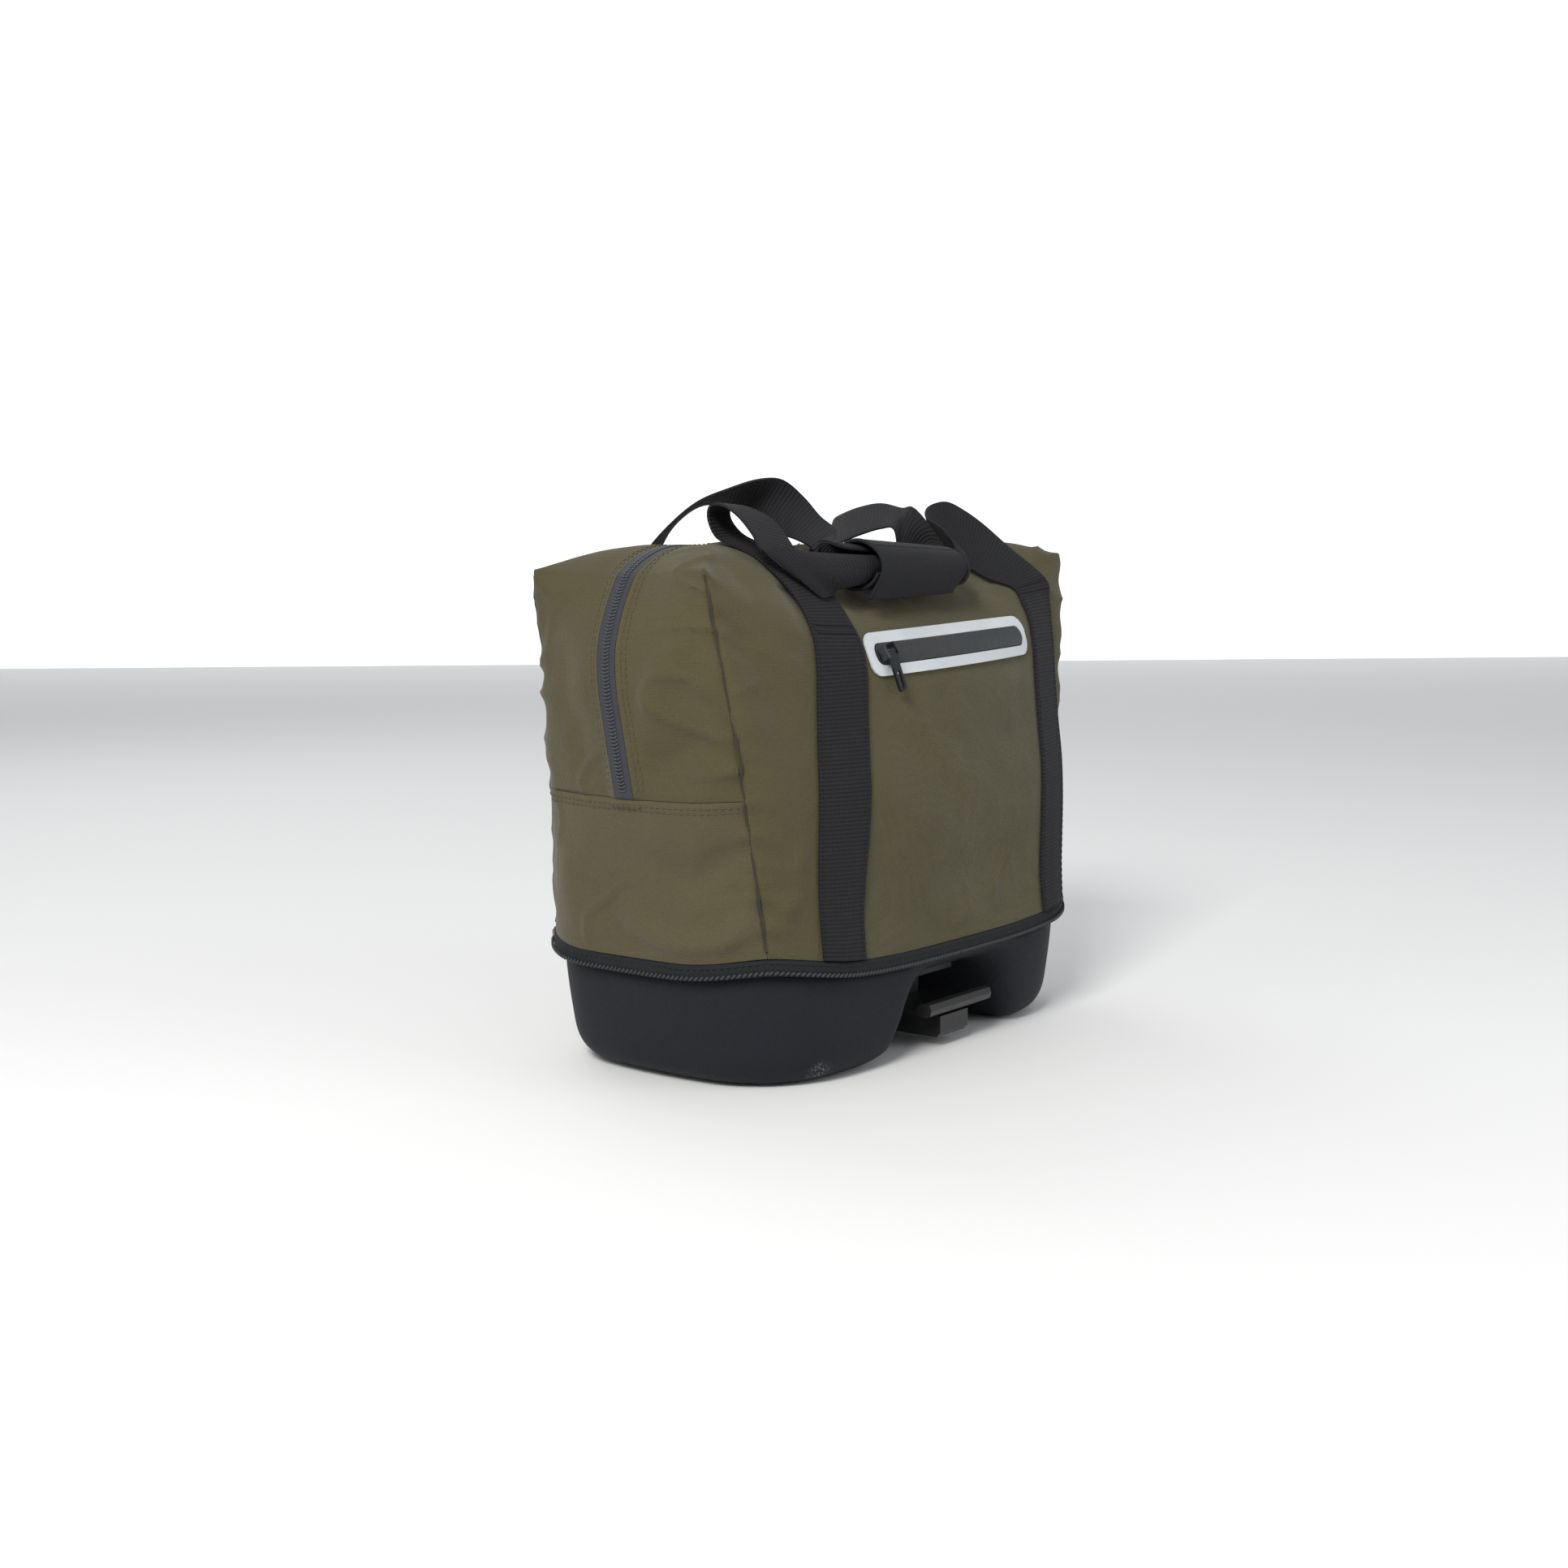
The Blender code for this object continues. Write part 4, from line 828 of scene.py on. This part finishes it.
def grip_rungs(front):
    """Middle surface of one handle's webbing inside the grip, rolled along its wall."""
    rungs = []
    turn = radians(WEBBING_ROLL) / 2
    radius = WEBBING_WIDTH / 2 / turn
    for share in (0.03, 0.5, 0.97):
        tilt = radians(GRIP_TILT * (1 - share))
        along = Vector((0, cos(tilt), sin(tilt)))
        upright = Vector((0, -sin(tilt), cos(tilt)))
        middle = Vector((GRIP_X + GRIP_LENGTH * (share - 0.5), GRIP_Y, GRIP_Z))
        squash = min(1.0, (grip_half_height(share) - GRIP_WALL - WEBBING - 0.0025) / radius)
        reach = GRIP_DEPTH / 2 - GRIP_WALL - WEBBING / 2 - 0.0030
        bulge = -along if front else along
        rung = []
        for station in WEBBING_STATIONS:
            deep = radius * (cos(station * turn) - 1) * ROLL_DEPTH
            high = radius * sin(station * turn) * squash
            rung.append(middle + bulge * (reach + deep) + upright * high)
        rungs.append(rung)
    return rungs


def handle_rungs(front):
    """One length of webbing: sewn strap, free run, grip, free run and sewn strap."""
    b = -1 if front else 1
    tilt = radians(GRIP_TILT)
    back_up = Vector((0, cos(tilt), sin(tilt)))
    bulge = -back_up if front else back_up
    left = strap_rungs(-1, b)
    right = strap_rungs(1, b)
    if front:
        left += run_rungs(FRONT_LEFT_RUN, bulge)
        right += run_rungs(FRONT_RIGHT_RUN, bulge)
    left = [rung[::-1] for rung in left]
    if not front:
        left += run_rungs(BACK_LEFT_RUN, bulge)
        right += run_rungs(BACK_RIGHT_RUN, bulge)
    return left + grip_rungs(front) + right[::-1]


def smooth_line(points, steps):
    """A curve through points, with some steps between each two."""
    last = len(points) - 1
    line = []
    for i in range(last):
        before, here = points[max(i - 1, 0)], points[i]
        there, after = points[i + 1], points[min(i + 2, last)]
        near, far = (there - before) / 6, (after - here) / 6
        for k in range(steps):
            t = k / steps
            s = 1 - t
            point = here * s ** 3 + (here + near) * 3 * s * s * t
            line.append(point + (there - far) * 3 * s * t * t + there * t ** 3)
    return line + [points[-1]]


def net_normal(rungs, i, k):
    """Normal of the webbing's middle surface at one point of its rungs."""
    along = rungs[min(i + 1, len(rungs) - 1)][k] - rungs[max(i - 1, 0)][k]
    across = rungs[i][min(k + 1, len(rungs[i]) - 1)] - rungs[i][max(k - 1, 0)]
    return along.cross(across).normalized()


def make_handle(name, front):
    """Webbing with a thinner selvedge, ribs in its material and sewn straps."""
    rungs = handle_rungs(front)
    columns = [smooth_line([rung[k] for rung in rungs], ALONG_STEPS) for k in range(5)]
    rungs = [smooth_line([column[i] for column in columns], ACROSS_STEPS) for i in range(len(columns[0]))]
    width, last = len(rungs[0]), len(rungs) - 1
    run, length = [0.0], 0.0
    for i in range(last):
        length += (rungs[i + 1][width // 2] - rungs[i][width // 2]).length
        run.append(length)
    verts, uvs = [], []
    for side in (0.5, -0.5):
        for i, rung in enumerate(rungs):
            for k, point in enumerate(rung):
                normal = net_normal(rungs, i, k)
                share = 2 * k / (width - 1) - 1
                thin = SELVEDGE_SHARE if abs(share) > 0.99 else 1.0
                verts.append(point + normal * WEBBING * side * thin)
                uvs.append((share * WEBBING_WIDTH / 2, run[i]))
    half = len(rungs) * width
    faces = []
    for i in range(last):
        for k in range(width - 1):
            a = i * width + k
            faces.append([a, a + 1, a + 1 + width, a + width])
            faces.append([half + a + width, half + a + 1 + width, half + a + 1, half + a])
        for a, b in ((i * width, (i + 1) * width), ((i + 2) * width - 1, (i + 1) * width - 1)):
            faces.append([a, b, half + b, half + a])
    for k in range(width - 1):
        end = last * width
        faces.append([k + 1, k, half + k, half + k + 1])
        faces.append([end + k, end + k + 1, half + end + k + 1, half + end + k])
    piece = new_piece(name + "_webbing", verts, faces, smooth_angle=50, uvs=uvs)
    dress(piece, "webbing", name)
    sew_handle(name, rungs, Vector((0, -1 if front else 1, 0)))


def sew_handle(name, rungs, outward):
    """Stitches along both sewn straps of a handle, and the bars that end them."""
    width, last = len(rungs[0]), len(rungs) - 1
    thread = Lump()
    left_sewn = range(0, ALONG_STEPS * LEFT_SEWN_RUNGS)
    right_sewn = range(last - ALONG_STEPS * RIGHT_SEWN_RUNGS, last)
    proud = outward * WEBBING * 0.62 + Vector((0, 0, 0.0003))
    for rows, bars in ((left_sewn, left_sewn[:-4:-2]), (right_sewn, right_sewn[:3:2])):
        for k in (1, width - 2):
            line = []
            for i in rows:
                normal = net_normal(rungs, i, k)
                if normal.dot(outward) < 0:
                    normal.negate()
                line.append((rungs[i][k] + normal * WEBBING / 2, normal))
            thread.stitches(line)
        for i in bars:
            line = [(point + proud, outward) for point in rungs[i][1:-1]]
            thread.stitches(line, BAR_PITCH, BAR_PITCH, BAR_RADIUS)
    add_on(name + "_thread", thread, "dark_thread")


def refined(name, levels, crease_angle):
    """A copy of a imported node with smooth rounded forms."""
    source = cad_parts[name]
    work = bmesh.new()
    work.from_mesh(source.data)
    bmesh.ops.remove_doubles(work, verts=work.verts[:], dist=1e-6)
    bmesh.ops.join_triangles(
        work, faces=work.faces[:], angle_face_threshold=radians(25), angle_shape_threshold=radians(100)
    )
    layer = work.edges.layers.float.new("crease_edge")
    for edge in work.edges:
        if len(edge.link_faces) == 2 and edge.calc_face_angle(0.0) > radians(crease_angle):
            edge[layer] = 0.85
    mesh = bpy.data.meshes.new(name + "_form")
    work.to_mesh(mesh)
    work.free()
    obj = new_object(name + "_form", mesh)
    modifier = obj.modifiers.new("smooth", "SUBSURF")
    modifier.levels = modifier.render_levels = levels
    shown = obj.evaluated_get(bpy.context.evaluated_depsgraph_get())
    obj.data = bpy.data.meshes.new_from_object(shown)
    obj.modifiers.clear()
    obj.data.shade_smooth()
    obj.data.set_sharp_from_angle(angle=radians(45))
    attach(obj, "bag")
    return obj


def grip_line(share):
    """The rolled sheet's middle line at a share of the grip's length."""
    half_z = grip_half_height(share) - GRIP_WALL / 2
    half_y = GRIP_DEPTH / 2 - GRIP_WALL / 2
    x = GRIP_X + GRIP_LENGTH * (share - 0.5)
    line = []
    for i in range(61):
        angle = radians(mix(200, 575, i / 60))
        over = GRIP_OVERLAP * ease((angle - radians(480)) / radians(75))
        y = GRIP_Y + (half_y + over) * cos(angle)
        line.append(Vector((x, y, GRIP_Z + (half_z + over) * sin(angle))))
    run = (line[-1] - line[-2]).normalized()
    return line + [line[-1] + run * GRIP_FLAP * i / 6 for i in range(1, 7)]


def make_grip():
    """The padded wrap with its bound rims and piping."""
    piece = refined("handle_grip", 2, 50)
    dress(piece, "padding", "handle_grip")
    rims, thread = Lump(), Lump()
    for share, way in ((0.0, -1), (1.0, 1)):
        line = [(p, Vector((way, 0, 0))) for p in grip_line(share)]
        rims.tube(line, GRIP_WALL * 0.55, 8)
    lines = [grip_line(share) for share in (i / 30 for i in range(31))]
    edge = [(line[-1] + Vector((0, -0.0002, 0)), Vector((0, -1, 0))) for line in lines]
    rims.tube(edge, GRIP_WALL * 0.52, 8)
    seam = [(line[46] + Vector((0, -0.0012, 0)), Vector((0, -1, 0))) for line in lines]
    thread.tube(seam, LIP_RADIUS, 6)
    add_on("grip_rims", rims, "webbing_plain")
    add_on("grip_piping", thread, "webbing_plain")


def ring_path(height, proud, count=400):
    """Places round the binding at a height, with their normals."""
    places = []
    half_x, half_y = half_width(0.0), half_depth(0.0)
    radius = BAG_DEPTH * section(0.0, 3)
    run = [mix(-1, 1, i / count) for i in range(count)]
    turn = [(t, -1.0) for t in run] + [(1.0, t) for t in run]
    turn += [(-t, 1.0) for t in run] + [(-1.0, -t) for t in run + [1.0]]
    for a, b in turn:
        point = body_point(a, b, 0.0)
        _, normal = rounded_outline(a, b, half_x, half_y, radius)
        way = Vector((normal[0], normal[1], 0.0))
        spot = Vector((point.x, point.y, height + ring_wave(a, b))) + way * proud
        places.append((spot, way))
    return places


def make_base():
    piece = refined("molded_base", 2, 60)
    dress(piece, "base", "molded_base")
    binding = refined("base_binding", 2, 50)
    dress(binding, "webbing_plain", "base_binding")
    rope = Lump()
    low = ring_path(RING_HEIGHT - BINDING_HEIGHT + BINDING_STITCH_INSET, BINDING_PROUD)
    rope.stitches(low, ROPE_PITCH, ROPE_LENGTH, ROPE_RADIUS, ROPE_TURN)
    add_on("binding_rope", rope, "rope")
    thread = Lump()
    thread.stitches(ring_path(RING_HEIGHT - BINDING_STITCH_INSET, BINDING_PROUD))
    add_on("binding_thread", thread, "dark_thread")


# Materials


def preset(node, **values):
    """Plain values for a node's inputs, with an underscore for a space in a name."""
    for name, value in values.items():
        node.inputs[name.replace("_", " ")].default_value = value


def shader_of(name, colour, rough, metal=0.0):
    material = bpy.data.materials.new(name)
    material.use_nodes = True
    shader = material.node_tree.nodes["Principled BSDF"]
    preset(shader, Base_Color=(*colour, 1.0), Roughness=rough)
    preset(shader, Metallic=metal, Specular_IOR_Level=0.2 if rough > 0.6 else 0.5)
    return material, material.node_tree, shader


def coordinates(tree, uv=False):
    node = tree.nodes.new("ShaderNodeTexCoord")
    return node.outputs["UV" if uv else "Object"]


def noise_node(tree, scale, detail=3.0):
    node = tree.nodes.new("ShaderNodeTexNoise")
    preset(node, Scale=scale, Detail=detail)
    tree.links.new(coordinates(tree), node.inputs["Vector"])
    return node.outputs["Fac"]


def bands_node(tree, period, direction, uv=False, distortion=0.0):
    node = tree.nodes.new("ShaderNodeTexWave")
    node.bands_direction = direction
    preset(node, Scale=2 * pi / (20 * period), Distortion=distortion)
    tree.links.new(coordinates(tree, uv), node.inputs["Vector"])
    return node.outputs["Fac"]


def math_node(tree, kind, first, second):
    node = tree.nodes.new("ShaderNodeMath")
    node.operation = kind
    for socket, value in zip(node.inputs, (first, second)):
        if isinstance(value, float):
            socket.default_value = value
        else:
            tree.links.new(value, socket)
    return node.outputs[0]


def plus(tree, first, second):
    return math_node(tree, "ADD", first, second)


def times(tree, first, second):
    return math_node(tree, "MULTIPLY", first, second)


def tint(tree, shader, colour, spread, fac):
    """Let the colour wander between two shades of itself."""
    node = tree.nodes.new("ShaderNodeMix")
    node.data_type = "RGBA"
    node.inputs[6].default_value = (*[v * (1 - spread) for v in colour], 1)
    node.inputs[7].default_value = (*[v * (1 + spread) for v in colour], 1)
    tree.links.new(fac, node.inputs[0])
    tree.links.new(node.outputs[2], shader.inputs["Base Color"])
    return node.outputs[2]


def bump(tree, shader, height, strength, distance):
    node = tree.nodes.new("ShaderNodeBump")
    preset(node, Strength=strength, Distance=distance)
    tree.links.new(height, node.inputs["Height"])
    tree.links.new(node.outputs[0], shader.inputs["Normal"])


def woven(name, colour, rough, pitch, spread=0.26, sheen=0.12):
    """Plain-woven cloth: crossed threads, slubs and a soft wander of colour."""
    material, tree, shader = shader_of(name, colour, rough)
    warp = bands_node(tree, pitch, "Z", distortion=0.6)
    weft = bands_node(tree, pitch, "X", distortion=0.6)
    side = bands_node(tree, pitch, "Y", distortion=0.6)
    facing = times(tree, warp, weft)
    threads = plus(tree, facing, times(tree, warp, side))
    grain = noise_node(tree, 700.0, 2.0)
    height = plus(tree, times(tree, threads, 0.5), grain)
    broad = times(tree, noise_node(tree, 9.0), 0.7)
    wander = plus(tree, broad, times(tree, grain, 0.45))
    tint(tree, shader, colour, spread, wander)
    bump(tree, shader, height, 0.55, 0.00045)
    preset(shader, Sheen_Weight=sheen)
    return material


def webbing_material(name, colour, ribs):
    material, tree, shader = shader_of(name, colour, 0.78)
    grain = noise_node(tree, 900.0, 2.0)
    if ribs:
        along = bands_node(tree, RIB_PITCH, "Y", uv=True)
        across = bands_node(tree, GRID_PITCH, "X", uv=True)
        height = plus(tree, along, times(tree, across, 0.45))
        height = plus(tree, height, times(tree, grain, 0.5))
        tint(tree, shader, colour, 0.30, along)
        bump(tree, shader, height, 0.8, 0.0006)
    else:
        tint(tree, shader, colour, 0.35, grain)
        bump(tree, shader, grain, 0.7, 0.0006)
    preset(shader, Sheen_Weight=0.02)
    return material


def base_material(spot):
    """Moulded skin with a fine diagonal knit, a pale scuff and faint dust."""
    material, tree, shader = shader_of("base_knit", BASE_COLOUR, 0.66)
    one = bands_node(tree, KNIT_PITCH, "DIAGONAL", distortion=0.8)
    grain = noise_node(tree, 420.0, 3.0)
    height = plus(tree, times(tree, one, 0.35), grain)
    bump(tree, shader, height, 0.45, 0.0004)
    distance = tree.nodes.new("ShaderNodeVectorMath")
    distance.operation = "DISTANCE"
    tree.links.new(coordinates(tree), distance.inputs[0])
    distance.inputs[1].default_value = spot
    near = tree.nodes.new("ShaderNodeMapRange")
    preset(near, From_Min=SCUFF_REACH, From_Max=SCUFF_REACH / 10)
    tree.links.new(distance.outputs["Value"], near.inputs["Value"])
    rubbed = math_node(tree, "GREATER_THAN", noise_node(tree, 850.0, 4.0), 0.56)
    scuff = times(tree, times(tree, near.outputs[0], rubbed), 0.55)
    fine = times(tree, grain, 0.6)
    broad = times(tree, noise_node(tree, 14.0), 0.4)
    skin = tint(tree, shader, BASE_COLOUR, 0.35, plus(tree, fine, broad))
    pale = tree.nodes.new("ShaderNodeMix")
    pale.data_type = "RGBA"
    pale.inputs[7].default_value = (*SCUFF_COLOUR, 1)
    tree.links.new(scuff, pale.inputs[0])
    tree.links.new(skin, pale.inputs[6])
    tree.links.new(pale.outputs[2], shader.inputs["Base Color"])
    return material


def plain(name, colour, rough, metal=0.0, scale=350.0, depth=0.15):
    """Moulded or metal finish with a faint grain and uneven gloss."""
    material, tree, shader = shader_of(name, colour, rough, metal)
    grain = noise_node(tree, scale, 3.0)
    tint(tree, shader, colour, 0.12, noise_node(tree, 40.0))
    bump(tree, shader, grain, depth, 0.0003)
    uneven = tree.nodes.new("ShaderNodeMapRange")
    preset(uneven, To_Min=rough - 0.06, To_Max=rough + 0.10)
    tree.links.new(noise_node(tree, 60.0), uneven.inputs["Value"])
    tree.links.new(uneven.outputs[0], shader.inputs["Roughness"])
    return material


def toothed(name, colour, period):
    """Zip tape with fine teeth across the X axis."""
    material, tree, shader = shader_of(name, colour, 0.5)
    teeth = bands_node(tree, period, "X")
    tint(tree, shader, colour, 0.5, teeth)
    bump(tree, shader, teeth, 0.9, 0.0006)
    return material


def make_materials():
    looks = {key: woven(*look) for key, look in WEAVES.items()}
    looks.update({key: plain(*look) for key, look in THREADS.items()})
    looks.update({key: webbing_material(*look) for key, look in WEBBINGS.items()})
    looks["base"] = base_material(pixel_point(SCUFF_PIXEL, "molded_base"))
    return looks


def finish_nodes():
    """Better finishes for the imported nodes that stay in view."""
    looks = {name: plain(*look) for name, look in NODE_LOOKS.items()}
    looks["pocket_zip"] = toothed("pocket_coil", POCKET_COIL_COLOUR, COIL_PITCH)
    for name, material in looks.items():
        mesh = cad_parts[name].data
        mesh.materials.clear()
        mesh.materials.append(material)


# Camera, light and floor


def camera_axes():
    yaw, pitch, roll = radians(YAW), radians(PITCH), radians(ROLL)
    ahead = Vector((sin(yaw) * cos(pitch), cos(yaw) * cos(pitch), -sin(pitch)))
    level = Vector((cos(yaw), -sin(yaw), 0))
    right = level * cos(roll) + ahead.cross(level) * sin(roll)
    return right.normalized(), right.cross(ahead).normalized(), ahead


def pixel_point(pixel, node):
    """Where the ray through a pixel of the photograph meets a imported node."""
    right, up, ahead = camera_axes()
    focal = LENS / 36 * FRAME_PIXELS
    half = FRAME_PIXELS / 2
    way = ahead + right * (pixel[0] - half) / focal - up * (pixel[1] - half) / focal
    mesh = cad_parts[node].data
    tree = BVHTree.FromPolygons([v.co for v in mesh.vertices], [p.vertices for p in mesh.polygons])
    spot = tree.ray_cast(Vector(EYE) + SHIFT, way.normalized())[0]
    if spot is None:
        spot = tree.find_nearest(Vector(EYE) + SHIFT + way.normalized() * 1.3)[0]
    return spot


def make_camera():
    right, up, ahead = camera_axes()
    data = bpy.data.cameras.new("photo_camera")
    data.lens = LENS
    data.sensor_width = 36
    data.clip_start = 0.05
    camera = new_object("photo_camera", data)
    turn = Matrix((right, up, -ahead)).transposed().to_4x4()
    camera.matrix_world = Matrix.Translation(Vector(EYE) + SHIFT) @ turn
    bpy.context.scene.camera = camera


def make_light(name, place, size, power, colour):
    data = bpy.data.lights.new(name, "AREA")
    data.size = size
    data.energy = power
    data.color = colour
    light = new_object(name, data)
    light.location = place
    aim = Vector((0, 0, 0.18)) - Vector(place)
    light.rotation_euler = aim.to_track_quat("-Z", "Y").to_euler()


def make_sheet(name, corners, material):
    """A flat sheet of the studio."""
    mesh = bpy.data.meshes.new(name)
    mesh.from_pydata(corners, [], [(0, 1, 2, 3)])
    mesh.materials.append(material)
    return new_object(name, mesh)


def make_studio():
    for light in LIGHTS:
        make_light(*light)
    world = bpy.data.worlds.new("studio")
    world.use_nodes = True
    world.node_tree.nodes["Background"].inputs[0].default_value = (*SKY_COLOUR, 1)
    world.node_tree.nodes["Background"].inputs[1].default_value = SKY_STRENGTH
    bpy.context.scene.world = world
    bpy.context.scene.view_settings.view_transform = "Standard"
    reach = FLOOR_REACH
    corners = [(-reach, -reach, 0), (reach, -reach, 0), (reach, reach, 0), (-reach, reach, 0)]
    floor = make_sheet("floor", corners, shader_of("floor_paint", FLOOR_COLOUR, 0.8)[0])
    make_backdrop()


def make_backdrop():
    """A bright wall far behind the bag, seen from the photograph's side."""
    right, _, ahead = camera_axes()
    centre = Vector((ahead.x, ahead.y, 0)).normalized() * BACKDROP_DISTANCE
    corners = []
    for side, height in ((-1, -0.02), (1, -0.02), (1, BACKDROP_HEIGHT), (-1, BACKDROP_HEIGHT)):
        aside = Vector((right.x, right.y, 0)) * FLOOR_REACH * side
        corners.append(tuple(centre + aside + Vector((0, 0, height))))
    material, _, shader = shader_of("backdrop_light", FLOOR_COLOUR, 1.0)
    preset(shader, Emission_Color=(*BACKDROP_COLOUR, 1), Emission_Strength=BACKDROP_STRENGTH)
    wall = make_sheet("backdrop", corners, material)


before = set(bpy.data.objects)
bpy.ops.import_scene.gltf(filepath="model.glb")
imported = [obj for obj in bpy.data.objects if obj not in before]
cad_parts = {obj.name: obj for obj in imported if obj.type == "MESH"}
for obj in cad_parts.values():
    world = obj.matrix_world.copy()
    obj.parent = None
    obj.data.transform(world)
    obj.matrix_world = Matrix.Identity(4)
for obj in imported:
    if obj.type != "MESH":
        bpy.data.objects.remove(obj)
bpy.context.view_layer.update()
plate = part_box("adapter_plate")
SHIFT = Vector(((plate[0].x + plate[1].x) / 2 - TUNNEL_SHIFT, 0, 0))
make_camera()
make_studio()
MATERIALS = make_materials()
make_cloth()
make_zip_details()
make_seams()
make_handle("front_handle", True)
make_handle("back_handle", False)
make_grip()
make_base()
finish_nodes()
